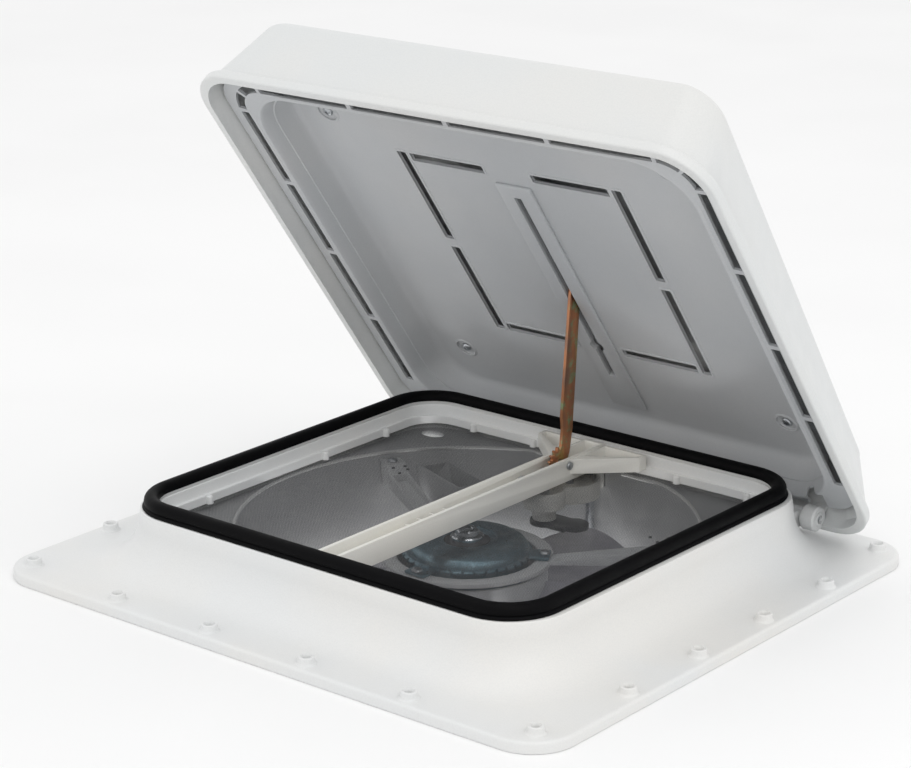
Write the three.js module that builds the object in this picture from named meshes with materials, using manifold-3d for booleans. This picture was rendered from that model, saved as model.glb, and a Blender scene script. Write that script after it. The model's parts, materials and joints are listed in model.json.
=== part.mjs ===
// Roof vent cover for a caravan or motorhome: a moulded base frame that drops into a square
// roof opening, a hinged lid raised by a worm-driven lift arm, a weather seal, an insect
// screen, and a 12 V extractor fan in a round shroud.
// Millimetres, +Z up. The origin is the centre of the fan on the roof plane (the underside of
// the flange). X runs along the hinge and +Y points to the hinge side.
import * as THREE from 'three';
import { mergeVertices } from 'three/addons/utils/BufferGeometryUtils.js';
import Module from 'manifold-3d';

const wasm = await Module();
wasm.setup();

// ---------------------------------------------------------------- driving dimensions
const GAP = 0.3;                 // clearance between pieces that rest on each other
const OPEN_DEG = 53.4;           // how far the lid stands open

// Base frame: neck in the roof opening, collar above the roof, flange on the roof
const NECK_X = 174.5;            // half width of the neck, along the hinge
const NECK_Y = 165;              // half depth of the neck
const NECK_WALL = 2.5;
const NECK_DEPTH = 92;
const NECK_CORNER = 34;
const COLLAR_RIM = 11.5;         // collar's outer face outside the neck at its top
const COLLAR_LAND_TRIM = 1.5;    // the collar's front and rear faces stand this much closer in
const COLLAR_TOP = 50;
const COLLAR_WALL = 3;
const FILLET = 34;               // concave sweep between collar and flange
const REAR_SWEEP = 0.75;         // the sweep is tighter beside the hinge
const FLANGE_SIDE = 62.6;        // flange beyond the collar top, at the sides
const FLANGE_FRONT = 61.5;
const FLANGE_REAR = 40.5;
const FLANGE_TOP = 8;
const FLANGE_PLATE = 3;
const FLANGE_CORNER = 33;
const FLANGE_ROUND = 2.5;        // rounding of the flange's rim
const UPSTAND = 3;               // rim above the land that carries the seal
const RIVET_BOSS = { radius: 6, hole: 4, height: 5.2, inset: 11, cornerInset: 20.2, perSide: 6 };
const HINGE_BACK = 15;           // hinge line behind the collar's rear face
const HINGE_Z = 22;
const HINGE_BOSS = { inner: 40, outer: 18.5, radius: 6.3 };  // ends, in from the collar's side
const PIN_R = 3;
const PIN_FIT = 0.35;            // radial clearance of a pin in its bore

// Weather seal
const SEAL_R = 5.3;
const SEAL_OUT = 1.5;            // bulb centreline outside the neck's outer face
const SEAL_CLIP = 2.6;            // thickness of the clip outside the upstand

// Screen frame, insect screen and crossbar
const FRAME_LIP = 6;             // frame width, from the neck wall to the mesh opening
const FRAME_TOP = 51.5;
const FRAME_STEP = 43;
const SCREEN_Z = 35;
const SCREEN_T = 0.8;
const PEG = { radius: 3, height: 6, inset: 2.6 };
const BAR_HALF = 10;             // crossbar half width
const BAR_WALL = 3;
const BAR_TOP = 53.3;
const BAR_FLOOR = 2.5;
const BAR_GUSSET = { reach: 48, length: 46, wall: 3, floor: 2.2 };

// Lift drive: arm and sector on a pivot, worm, gear train and crank
const ARM_PIVOT_Z = 48;
const ARM_T = 2.4;
const ARM_HALF = 6;
const ARM_JOG = 6;               // the bar steps off the pivot's line so it clears the worm
const PIN_OPEN_Y = 24.5;         // where the guide pin rides in the track with the lid open
const ARM_PIN_R = 3;
const GUIDE_PIN = { radius: 3, half: 7.5 };
const SECTOR_R = 12;             // pitch radius of the arm's toothed sector
const SECTOR_TEETH = 16;         // teeth that a whole turn of the sector would have
const SECTOR_SPAN_DEG = 104;
const WORM_R = 5.5;              // pitch radius of the worm
const WORM_TIP_R = 4.2;
const WORM_TOP = 48.3;
const GEAR_MODULE = 1.5;
const TEETH = { worm: 16, idler: 26, crank: 9 };
const GEAR_T = 6;
const GEAR_Z = 22.5;             // underside of the gears
const TRAY = { floor: 2, wall: 1.6, clear: 0.8, bottom: 19, top: 32.5 };
const TRAY_BOSS = { radius: 9, bottom: 9 };
const END_CAP = { half: 11, reach: 24, aside: 6, thick: 4 };
const CRANK_SHAFT_R = 3.5;
const CRANK_BOTTOM = -84;
const KNOB = { radius: 11, height: 20, scallop: 3.5, clear: 1.25 };

// Fan shroud, motor and rotor
const SHROUD_IN = 6.5;           // throat inside the nearer neck walls
const SHROUD_FLARE = 14;         // the mouth is this much wider than the throat
const SHROUD_FLAT_IN = 4.5;      // the round mouth is cut off this far inside the neck walls
const SHROUD_TOP = 31;
const SHROUD_THROAT = -12;
const SHROUD_BOTTOM = -62;
const SHROUD_WALL = 2.5;
const DRAIN_HOLE = { inX: 22, inY: 20.5, rx: 10, ry: 7 };  // from the neck's inner corner
const MOTOR = { radius: 48, top: 21, bottom: -11, rim: 10 };
const MOTOR_EAR = { half: 9, reach: 61, thick: 3 };
const BRACKET_ARMS_DEG = [150, 270, 30];
const BRACKET = { half: 8, rib: 2.4, height: 11, ring: 63, padTop: 27, padLength: 15 };
const SHAFT_R = 4;
const HUB = { radius: 59, wall: 2.5, top: 1.5, bottom: -33 };
const WIRING_BOX = { inward: 23, bearing: 132.6, degrees: -21, length: 52, half: 13, wall: 2,
  height: 23, bottom: -2 };      // inward from the throat, at a bearing about the fan
const BLADES = 6;
const BLADE = { clear: 13, top: -9, drop: 30, thick: 2.2, spanDeg: 52 };

// Lid: outer dome and inner liner, given closed, then swung open
const LID_OVER = 41;             // rim outside the collar's face
const LID_OVER_FRONT = 37.5;
const LID_OVER_REAR = 28.5;
const LID_RIM = 21.5;            // rim height above the roof when closed
const LID_TOP = 91;
const LID_CORNER = 38;
const LID_WALL = 3;
const BEAD = { height: 9, proud: 3.5 };
const DOME_LEAN = { side: 20, front: 2, rear: 20 };    // how far the dome's walls lean in
const DOME_ROUND = { side: 30, front: 10, rear: 30 };  // reach of the shoulder's rounding
const DOME_FALL = 0.66;           // height left at the hinge end, over the height at the front
const KNUCKLE = { inner: 17, outer: 5, radius: 9.5, behind: 9, top: 38 };  // ends, in from the
                                  // collar's side; web, in from the lid's rear, and its top
const LINER_T = 2.2;
const LINER_LAND = 33.5;         // underside of the land round the tray
const TRAY_OVER = { side: 8.5, front: 6.5, rear: 8.5 };  // tray floor outside the neck
const LAND_CLEAR = 4.8;          // land's edge inside the dome's drafted wall
const LINER_SLOPE = 9;           // how far the tray's walls lean out
const LINER_CORNER = 36;
const SLOT_W = 6;
const SLOT_OUT = { side: 20.5, front: 24.5 };  // slot centrelines outside the tray floor
const SLOT_RUN = { perSide: 4, bridge: 4, front: 21.5, rear: 41.5, side: 19 };  // ends' insets
const PANEL = { side: 82, front: 61.5, rear: 81.5, slot: 4.5, bridge: 10 };  // insets, slots
const TRACK = { front: 88.5, rear: 53.5, half: 8.5, wall: 1.6, height: 9.4, slot: 6.5, ridge: 16,
  short: 48 };                    // track ends this far before its slot, where the dome is low
const LID_SCREW_IN = { side: 31.2, front: 30.2, rear: 41.5 };
const SCREW = { head: 4.2, headT: 2.2, shank: 1.8, length: 12 };
const ARM_SLOT = 2.4;             // half width of the slot over the arm's end in the track
const LID_SCREW = { ...SCREW, length: 9.2 };

// ---------------------------------------------------------------- worked-out dimensions
const RAD = Math.PI / 180;
const NECK_IN_X = NECK_X - NECK_WALL;
const NECK_IN_Y = NECK_Y - NECK_WALL;
const COLLAR_X = NECK_X + COLLAR_RIM;
const COLLAR_FRONT = -NECK_Y - COLLAR_RIM + 2 * COLLAR_LAND_TRIM;
const COLLAR_REAR = NECK_Y + COLLAR_RIM - COLLAR_LAND_TRIM;
const COLLAR_CORNER = NECK_CORNER + COLLAR_RIM;
const FLANGE_X = COLLAR_X + FLANGE_SIDE;
const FLANGE_LOW = COLLAR_FRONT - FLANGE_FRONT;
const FLANGE_HIGH = COLLAR_REAR + FLANGE_REAR;
const FLANGE_CY = (FLANGE_LOW + FLANGE_HIGH) / 2;
const FLANGE_Y = (FLANGE_HIGH - FLANGE_LOW) / 2;
const SEAL_Z = COLLAR_TOP + GAP + SEAL_R;
const SCREEN_TOP = SCREEN_Z + SCREEN_T;
const BAR_BOTTOM = SCREEN_TOP + GAP;
const FRAME_IN_X = NECK_IN_X - FRAME_LIP;
const FRAME_IN_Y = NECK_IN_Y - FRAME_LIP;
const HINGE_Y = COLLAR_REAR + HINGE_BACK;
const pitchR = (teeth) => (teeth * GEAR_MODULE) / 2;
const CRANK_Y = NECK_IN_Y - KNOB.radius - KNOB.clear;
const IDLER_Y = CRANK_Y - pitchR(TEETH.idler) - pitchR(TEETH.crank);
const WORM_Y = IDLER_Y - pitchR(TEETH.worm) - pitchR(TEETH.idler);
const ARM_PIVOT_Y = WORM_Y + SECTOR_R + WORM_R;
const TRAY_SCREW_Y = WORM_Y - 26;
const TRAY_SCREW_Z = BAR_TOP - 6.5;                   // top of the boss the tray hangs on
const SHROUD_R = Math.min(NECK_IN_X, NECK_IN_Y) - SHROUD_IN;
const SHROUD_TOP_R = SHROUD_R + SHROUD_FLARE;
const SHROUD_FLAT_Y = NECK_IN_Y - SHROUD_FLAT_IN;
const BLADE_TIP = SHROUD_R - BLADE.clear;
const LINER_FLOOR = SEAL_Z + SEAL_R + GAP;            // underside of the tray floor
const LID_X = COLLAR_X + LID_OVER;
const LID_FRONT = COLLAR_FRONT - LID_OVER_FRONT;
const LID_REAR = COLLAR_REAR + LID_OVER_REAR;
const LINER_X = NECK_X + TRAY_OVER.side;
const LINER_FRONT = -NECK_Y - TRAY_OVER.front;
const LINER_REAR = NECK_Y + TRAY_OVER.rear;
const LID_SCREW_X = LINER_X - LID_SCREW_IN.side;
const LID_SCREW_Y = [LINER_FRONT + LID_SCREW_IN.front, LINER_REAR - LID_SCREW_IN.rear];
const TRACK_FRONT = LINER_FRONT + TRACK.front;
const TRACK_REAR = LINER_REAR - TRACK.rear;
const RIDGE_REAR = NECK_Y + SEAL_OUT - SEAL_R - 3;    // the ridge stops inside the seal

// The lift arm reaches the track in the open lid. Its closed angle follows from the same pins.
const TRACK_Z = LINER_FLOOR + LINER_T + 3.2;          // guide pin height when closed
const ARM_OPEN_AT = HINGE_Y - PIN_OPEN_Y;             // pin's distance from the hinge
const open = OPEN_DEG * RAD;
const pinRise = TRACK_Z - HINGE_Z;
const pinY = HINGE_Y - ARM_OPEN_AT * Math.cos(open) + pinRise * Math.sin(open);
const pinZ = HINGE_Z + ARM_OPEN_AT * Math.sin(open) + pinRise * Math.cos(open);
const ARM_LENGTH = Math.hypot(pinY - ARM_PIVOT_Y, pinZ - ARM_PIVOT_Z);
const ARM_ANGLE = Math.atan2(pinZ - ARM_PIVOT_Z, pinY - ARM_PIVOT_Y);

// ---------------------------------------------------------------- materials
const finish = (color, roughness, metalness = 0) =>
  new THREE.MeshStandardMaterial({ color, roughness, metalness });
const WHITE = finish(0xf1f1ee, 0.45);
const WARM_WHITE = finish(0xeeece4, 0.5);
const LINER_GREY = finish(0xc9ccd0, 0.55);
const RUBBER = finish(0x0d0d10, 0.6);
const MESH_GREY = finish(0x3a3c3e, 0.7, 0.2);
const SHROUD_GREY = finish(0x8d9092, 0.6);
const SMOKE = finish(0x75737a, 0.4);
const MOTOR_BLUE = finish(0x5d7f8a, 0.35, 0.8);
const ZINC = finish(0xb8bcc0, 0.3, 0.9);
const GOLD_ZINC = finish(0xb0672c, 0.35, 0.9);
const BLACK = finish(0x1b1b1d, 0.5);
const NATURAL = finish(0xe6e2d6, 0.5);

// ---------------------------------------------------------------- geometry helpers
const group = new THREE.Group();

/** A closed three.js geometry as a manifold solid. */
function solid(geometry) {
  const bare = geometry.index ? geometry.toNonIndexed() : geometry.clone();
  for (const name of ['normal', 'uv']) bare.deleteAttribute(name);
  const merged = mergeVertices(bare, 1e-4);
  return new wasm.Manifold(new wasm.Mesh({
    numProp: 3,
    vertProperties: new Float32Array(merged.attributes.position.array),
    triVerts: new Uint32Array(merged.index.array),
  }));
}

/** A manifold solid as a three.js geometry. */
function geometryOf(shape) {
  const result = shape.getMesh();
  const geometry = new THREE.BufferGeometry();
  geometry.setAttribute('position', new THREE.BufferAttribute(result.vertProperties, 3));
  geometry.setIndex(new THREE.BufferAttribute(result.triVerts, 1));
  geometry.computeVertexNormals();
  return geometry;
}

const union = (...shapes) => shapes.reduce((whole, next) => whole.add(next));
const cut = (whole, ...tools) => tools.reduce((rest, tool) => rest.subtract(tool), whole);

/** Adds one named sub-part to a group. */
function part(parent, name, shape, material) {
  const mesh = new THREE.Mesh(shape.isBufferGeometry ? shape : geometryOf(shape), material);
  mesh.name = name;
  parent.add(mesh);
  return mesh;
}

/** A box between two corners, as a solid. */
function block(low, high) {
  const size = high.map((value, i) => value - low[i]);
  const geometry = new THREE.BoxGeometry(...size);
  return solid(geometry.translate(...high.map((value, i) => (value + low[i]) / 2)));
}

/** An upright cylinder or cone from z0 to z1 centred on (x, y), as a solid. */
function post(x, y, z0, z1, radius, segments = 16, topRadius = radius) {
  const geometry = new THREE.CylinderGeometry(topRadius, radius, z1 - z0, segments);
  return solid(geometry.rotateX(Math.PI / 2).translate(x, y, (z0 + z1) / 2));
}

/** A cylinder along X from x0 to x1, as a solid. */
function rod(x0, x1, y, z, radius, segments = 16) {
  const geometry = new THREE.CylinderGeometry(radius, radius, Math.abs(x1 - x0), segments);
  return solid(geometry.rotateZ(Math.PI / 2).translate((x0 + x1) / 2, y, z));
}

/** A solid of revolution about the vertical line through (x, y); profile is [radius, z] pairs. */
function turned(profile, segments, x = 0, y = 0) {
  const points = profile.map(([radius, z]) => new THREE.Vector2(radius, z));
  const geometry = new THREE.LatheGeometry(points, segments).rotateX(Math.PI / 2);
  return outward(geometry.translate(x, y, 0));
}

/** A flat outline of [x, y] points raised from z0 to z1, as a solid. */
function plate(outline, z0, z1) {
  const shape = new THREE.Shape(outline.map(([x, y]) => new THREE.Vector2(x, y)));
  const geometry = new THREE.ExtrudeGeometry(shape, { depth: z1 - z0, bevelEnabled: false });
  return solid(geometry.translate(0, 0, z0));
}

/** The same solid with its faces turned outwards if they point in. */
function outward(geometry) {
  const bare = geometry.index ? geometry.toNonIndexed() : geometry;
  const at = bare.attributes.position;
  const [a, b, c] = [new THREE.Vector3(), new THREE.Vector3(), new THREE.Vector3()];
  let volume = 0;
  for (let i = 0; i < at.count; i += 3) {
    a.fromBufferAttribute(at, i);
    b.fromBufferAttribute(at, i + 1);
    c.fromBufferAttribute(at, i + 2);
    volume += a.dot(b.cross(c));
  }
  if (volume < 0) {
    for (let i = 0; i < at.count; i += 3) {
      b.fromBufferAttribute(at, i + 1);
      c.fromBufferAttribute(at, i + 2);
      at.setXYZ(i + 1, c.x, c.y, c.z);
      at.setXYZ(i + 2, b.x, b.y, b.z);
    }
  }
  return solid(bare);
}

/** A rounded rectangle as [x, y] points, anticlockwise from the +X side. */
function roundRect(halfX, halfY, corner, centreY = 0, steps = 5) {
  const radius = Math.max(0.5, Math.min(corner, halfX - 0.5, halfY - 0.5));
  const points = [];
  for (let quarter = 0; quarter < 4; quarter += 1) {
    const cx = (quarter === 0 || quarter === 3 ? 1 : -1) * (halfX - radius);
    const cy = (quarter < 2 ? 1 : -1) * (halfY - radius);
    for (let i = 0; i <= steps; i += 1) {
      const angle = (quarter + i / steps) * (Math.PI / 2);
      points.push([cx + radius * Math.cos(angle), centreY + cy + radius * Math.sin(angle)]);
    }
  }
  return points;
}

/** Skins loops of equal length. An open stack gets end caps; a closed one joins last to first.
 * Thin loops, whose second half runs back along the first, are capped from side to side. */
function skin(loops, closed, thin = false) {
  const vertices = [];
  const n = loops[0].length;
  const put = (...points) => points.forEach((p) => vertices.push(...p));
  const spans = closed ? loops.length : loops.length - 1;
  for (let k = 0; k < spans; k += 1) {
    const lower = loops[k];
    const upper = loops[(k + 1) % loops.length];
    for (let i = 0; i < n; i += 1) {
      const j = (i + 1) % n;
      put(lower[i], lower[j], upper[j]);
      put(lower[i], upper[j], upper[i]);
    }
  }
  if (!closed) {
    for (const [loop, flip] of [[loops[0], true], [loops[loops.length - 1], false]]) {
      const cap = [];
      if (thin) {
        for (let i = 0; i < n / 2 - 1; i += 1) {
          const [a, b, c, d] = [loop[i], loop[i + 1], loop[n - 2 - i], loop[n - 1 - i]];
          cap.push([a, b, c], [a, c, d]);
        }
      } else {
        const centre = [0, 1, 2].map((axis) => loop.reduce((sum, p) => sum + p[axis], 0) / n);
        loop.forEach((point, i) => cap.push([centre, point, loop[(i + 1) % n]]));
      }
      for (const [a, b, c] of cap) put(a, ...(flip ? [c, b] : [b, c]));
    }
  }
  const geometry = new THREE.BufferGeometry();
  geometry.setAttribute('position', new THREE.BufferAttribute(new Float32Array(vertices), 3));
  return outward(geometry);
}

/** One rounded-rectangle station of a skin. */
const station = (halfX, halfY, corner, centreY, z, steps) =>
  roundRect(halfX, halfY, corner, centreY, steps).map(([x, y]) => [x, y, z]);

/** A station given by its front and rear edges in place of a centre. */
const stationBetween = (halfX, front, rear, corner, z, steps) =>
  station(halfX, (rear - front) / 2, corner, (front + rear) / 2, z, steps);

/** A station that follows the neck, moved in by an inset all round. */
const neckAt = (inset, z) =>
  station(NECK_X - inset, NECK_Y - inset, NECK_CORNER - inset, 0, z);

/** A Phillips-headed screw pointing down, its head's underside at z, as a solid. */
function screwSolid(x, y, z, { head, headT, shank, length }) {
  return turned([[0, z + headT], [head * 0.6, z + headT], [head, z + headT * 0.3], [head, z],
    [shank, z], [shank, z - length + 2], [0, z - length]], 8, x, y);
}

// ---------------------------------------------------------------- base
/** Flange, swept collar and neck as one thin-walled ring, with rivet bosses and hinge bosses. */
function baseFrame() {
  const flange = (inset, z) =>
    station(FLANGE_X - inset, FLANGE_Y - inset, FLANGE_CORNER - inset, FLANGE_CY, z);
  const collar = (offset, z) => stationBetween(COLLAR_X + offset, COLLAR_FRONT - offset,
    COLLAR_REAR + offset * (offset > 0 ? REAR_SWEEP : 1), COLLAR_CORNER + offset, z);
  const wallFoot = FLANGE_TOP + FILLET;
  const sweep = (radius, steps, z0) => Array.from({ length: steps + 1 }, (_, i) => {
    const angle = (i / steps) * (Math.PI / 2);
    return [FILLET + 2 - radius * Math.sin(angle), z0 + FILLET - radius * Math.cos(angle)];
  });
  const outer = sweep(FILLET, 5, FLANGE_TOP).map(([offset, z]) => collar(offset, z));
  const inner = sweep(FILLET + COLLAR_WALL, 5, FLANGE_TOP)
    .map(([offset, z]) => collar(offset, z)).reverse();
  const loops = [
    flange(0, 0), flange(0, FLANGE_TOP - FLANGE_ROUND), flange(FLANGE_ROUND, FLANGE_TOP),
    ...outer,
    collar(0.6, COLLAR_TOP - 1.5), collar(-0.9, COLLAR_TOP),
    neckAt(0, COLLAR_TOP), neckAt(0, COLLAR_TOP + UPSTAND),
    neckAt(NECK_WALL, COLLAR_TOP + UPSTAND), neckAt(NECK_WALL, -NECK_DEPTH),
    neckAt(0, -NECK_DEPTH), neckAt(0, COLLAR_TOP - COLLAR_WALL),
    collar(-COLLAR_WALL + 0.6, COLLAR_TOP - COLLAR_WALL),
    ...inner,
    flange(COLLAR_WALL, FLANGE_TOP - FLANGE_PLATE), flange(COLLAR_WALL, 0),
  ];
  let shape = skin(loops, true);
  for (const side of [-1, 1]) {
    const bossX = [side * (COLLAR_X - HINGE_BOSS.inner), side * (COLLAR_X - HINGE_BOSS.outer)];
    const wall = [COLLAR_REAR - 4, HINGE_Y];
    const low = [Math.min(...bossX), wall[0], wallFoot - 26];
    const high = [Math.max(...bossX), wall[1], HINGE_Z + HINGE_BOSS.radius];
    const barrel = rod(...bossX, HINGE_Y, HINGE_Z, HINGE_BOSS.radius);
    shape = union(shape, barrel, block(low, high));
    shape = cut(shape, rod(bossX[0] + side * 3, bossX[1] + side * 3, HINGE_Y, HINGE_Z,
      PIN_R + PIN_FIT));
  }
  for (const [x, y, flush] of bossCentres()) {
    const { radius, hole, height } = RIVET_BOSS;
    const base = FLANGE_TOP - FLANGE_PLATE + 0.5;
    const top = FLANGE_TOP + height;
    if (!flush) shape = shape.add(post(x, y, base, top, radius, 10, radius * 0.93));
    shape = shape.subtract(post(x, y, -1, top + 1, hole, 8));
  }
  return shape;
}

/** Centres of the rivet bosses: six along each side of the flange, corners shared. Those under
 * the swinging rear rim of the lid are flush holes. */
function bossCentres() {
  const { inset, cornerInset, perSide } = RIVET_BOSS;
  const cornerX = FLANGE_X - cornerInset;
  const cornerY = FLANGE_Y - cornerInset;
  const centres = [];
  for (const side of [-1, 1]) {
    for (const end of [-1, 1]) centres.push([side * cornerX, FLANGE_CY + end * cornerY]);
    for (let i = 1; i < perSide - 1; i += 1) {
      const along = (2 * i) / (perSide - 1) - 1;
      centres.push([along * cornerX * 0.97, FLANGE_CY + side * (FLANGE_Y - inset), side > 0]);
      centres.push([side * (FLANGE_X - inset), FLANGE_CY + along * cornerY * 0.97]);
    }
  }
  return centres;
}

/** Bulb seal with a short clip that grips the upstand. */
function weatherSeal() {
  const bulb = 10;
  const loops = Array.from({ length: bulb }, (_, i) => {
    const angle = (i / bulb) * 2 * Math.PI;
    return neckAt(-SEAL_OUT - SEAL_R * Math.cos(angle), SEAL_Z + SEAL_R * Math.sin(angle));
  });
  const clipOut = -GAP - SEAL_CLIP;
  const low = COLLAR_TOP + GAP;
  const clip = skin([neckAt(-GAP, low), neckAt(clipOut, low), neckAt(clipOut, SEAL_Z),
    neckAt(-GAP, SEAL_Z)], true);
  const rim = [NECK_WALL + GAP, -GAP];
  const pocket = skin([neckAt(rim[0], COLLAR_TOP - 9), neckAt(rim[1], COLLAR_TOP - 9),
    neckAt(rim[1], COLLAR_TOP + UPSTAND + GAP), neckAt(rim[0], COLLAR_TOP + UPSTAND + GAP)], true);
  return cut(skin(loops, true).add(clip), pocket);
}

/** White inner frame that carries the screen: stepped section, plus heat-staked pegs. */
function screenFrame() {
  const bottom = SCREEN_TOP + GAP;
  const outside = NECK_WALL + GAP;
  const inside = NECK_WALL + FRAME_LIP;
  let shape = skin([
    neckAt(outside, bottom), neckAt(outside, FRAME_TOP), neckAt(outside + 2.4, FRAME_TOP),
    neckAt(inside - 2, FRAME_STEP), neckAt(inside, FRAME_STEP - 1), neckAt(inside, bottom),
  ], true);
  for (const [x, y] of pegCentres()) {
    shape = shape.add(post(x, y, bottom, bottom + PEG.height, PEG.radius, 8, PEG.radius * 0.9));
  }
  return shape;
}

/** Pegs round the mesh opening, five to a side edge and four to the front and rear. */
function pegCentres() {
  const x = FRAME_IN_X - PEG.radius + PEG.inset;
  const y = FRAME_IN_Y - PEG.radius + PEG.inset;
  const centres = [];
  for (const side of [-1, 1]) {
    for (const along of [-0.62, 0.2, 0.66]) centres.push([side * x, along * y]);
    for (const along of [-0.72, -0.36, 0.46, 0.84]) centres.push([along * x, side * y]);
  }
  return centres;
}

/** Insect screen as a thin plate with a hole for the worm and a slot for the sector. */
function insectScreen() {
  const panel = skin([SCREEN_Z, SCREEN_TOP].map((z) => neckAt(NECK_WALL + GAP + 2, z)), false);
  return cut(panel, block([-5, WORM_Y - 9, SCREEN_Z - 1], [5, ARM_PIVOT_Y + 16, SCREEN_TOP + 1]),
    post(0, WORM_Y, SCREEN_Z - 1, SCREEN_TOP + 1, 9));
}

/** Open-topped channel across the opening, ribbed at mid-span and gusseted at the hinge end. */
function crossbar() {
  const front = -FRAME_IN_Y + GAP;
  const rear = FRAME_IN_Y - GAP;
  const floor = BAR_BOTTOM + BAR_FLOOR;
  const { reach, length, wall } = BAR_GUSSET;
  const inside = BAR_HALF - BAR_WALL;
  const start = rear - length;
  const wedge = [[-BAR_HALF + 1, start], [BAR_HALF - 1, start], [reach, rear - 9], [reach, rear],
    [-reach, rear], [-reach, rear - 9]];
  let shape = union(block([-BAR_HALF, front, BAR_BOTTOM], [BAR_HALF, rear, BAR_TOP]),
    plate(wedge, BAR_BOTTOM + 5, BAR_TOP - 1));
  for (const side of [-1, 1]) {
    const pocket = [[side * (BAR_HALF + wall * 0.6), start + 14], [side * (reach - wall), rear - 8],
      [side * (reach - wall), rear - wall], [side * (BAR_HALF + wall * 0.6), rear - wall]];
    if (side < 0) pocket.reverse();
    shape = shape.subtract(plate(pocket, BAR_BOTTOM + 5 + BAR_GUSSET.floor, BAR_TOP + 1));
  }
  shape = shape.subtract(block([-inside, front + BAR_WALL, floor],
    [inside, rear - BAR_WALL, BAR_TOP + 1]));
  for (const y of [-62, -48, -34, -20]) {
    shape = shape.add(block([-inside - 1, y - 0.9, floor - 1], [inside + 1, y + 0.9, BAR_TOP - 6]));
  }
  shape = shape.add(post(0, TRAY_SCREW_Y, floor - 1, TRAY_SCREW_Z, 5.5, 12));
  const slot = block([-inside + 1, WORM_Y - WORM_R - 2, BAR_BOTTOM - 1],
    [inside - 1, ARM_PIVOT_Y + SECTOR_R + 4, floor + 1]);
  return cut(shape, slot, post(0, TRAY_SCREW_Y, BAR_BOTTOM - 1, BAR_TOP, 1.7, 8),
    rod(-BAR_HALF - 4, BAR_HALF + 4, ARM_PIVOT_Y, ARM_PIVOT_Z, ARM_PIN_R + PIN_FIT));
}

/** Three lobes round the gear train, grown by a margin. */
function trayLobes(margin, z0, z1) {
  const lobe = (y, teeth) => post(0, y, z0, z1, pitchR(teeth) + GEAR_MODULE + margin, 20);
  return union(lobe(WORM_Y, TEETH.worm), lobe(IDLER_Y, TEETH.idler), lobe(CRANK_Y, TEETH.crank));
}

/** Open tray under the crossbar that holds the gear train, with the worm's lower boss. */
function gearTray() {
  const { floor, wall, clear, bottom, top } = TRAY;
  const shape = union(trayLobes(clear + wall, bottom, top),
    post(0, WORM_Y, TRAY_BOSS.bottom, bottom + 1, TRAY_BOSS.radius));
  return cut(shape, trayLobes(clear, bottom + floor, top + 1),
    post(0, WORM_Y, TRAY_BOSS.bottom - 1, top, SHAFT_R + PIN_FIT),
    post(0, CRANK_Y, bottom - 1, top, CRANK_SHAFT_R + PIN_FIT),
    post(0, IDLER_Y, bottom - 1, top, PIN_R + GAP));
}

/** Rounded plate that closes the worm's lower bearing. */
function bearingCap() {
  const top = TRAY_BOSS.bottom - GAP;
  const bottom = top - END_CAP.thick;
  const { half, reach } = END_CAP;
  const { aside } = END_CAP;
  return union(post(0, WORM_Y, bottom, top, half), post(reach, WORM_Y + aside, bottom, top, half),
    block([0, WORM_Y - half + aside / 2, bottom], [reach, WORM_Y + half + aside / 2, top]));
}

/** Spur gear outline: straight-flanked teeth on the pitch circle. */
function gear(teeth, bore, phase) {
  const radius = pitchR(teeth);
  const tip = radius + GEAR_MODULE * 0.9;
  const root = radius - GEAR_MODULE * 1.15;
  const outline = [];
  for (let i = 0; i < teeth; i += 1) {
    const centre = ((i + phase) / teeth) * 2 * Math.PI;
    const pitch = (2 * Math.PI) / teeth;
    for (const [share, r] of [[-0.3, root], [-0.11, tip], [0.11, tip], [0.3, root]]) {
      const angle = centre + share * pitch;
      outline.push([r * Math.cos(angle), r * Math.sin(angle)]);
    }
  }
  return cut(plate(outline, GEAR_Z, GEAR_Z + GEAR_T), post(0, 0, 0, 99, bore));
}

/** Crank knob with finger scallops. */
function crankKnob() {
  const { radius, height, scallop } = KNOB;
  const low = CRANK_BOTTOM;
  let shape = turned([[0, low], [radius - 2, low], [radius, low + 2], [radius, low + height - 3],
    [radius - 3, low + height], [0, low + height]], 18);
  for (let i = 0; i < 6; i += 1) {
    const angle = (i / 6) * 2 * Math.PI;
    const out = radius + scallop * 0.5;
    shape = shape.subtract(post(out * Math.cos(angle), out * Math.sin(angle), low - 1,
      low + height - 6, scallop, 8));
  }
  return cut(shape, post(0, 0, low + 6, low + height + 1, CRANK_SHAFT_R + GAP));
}

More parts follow.
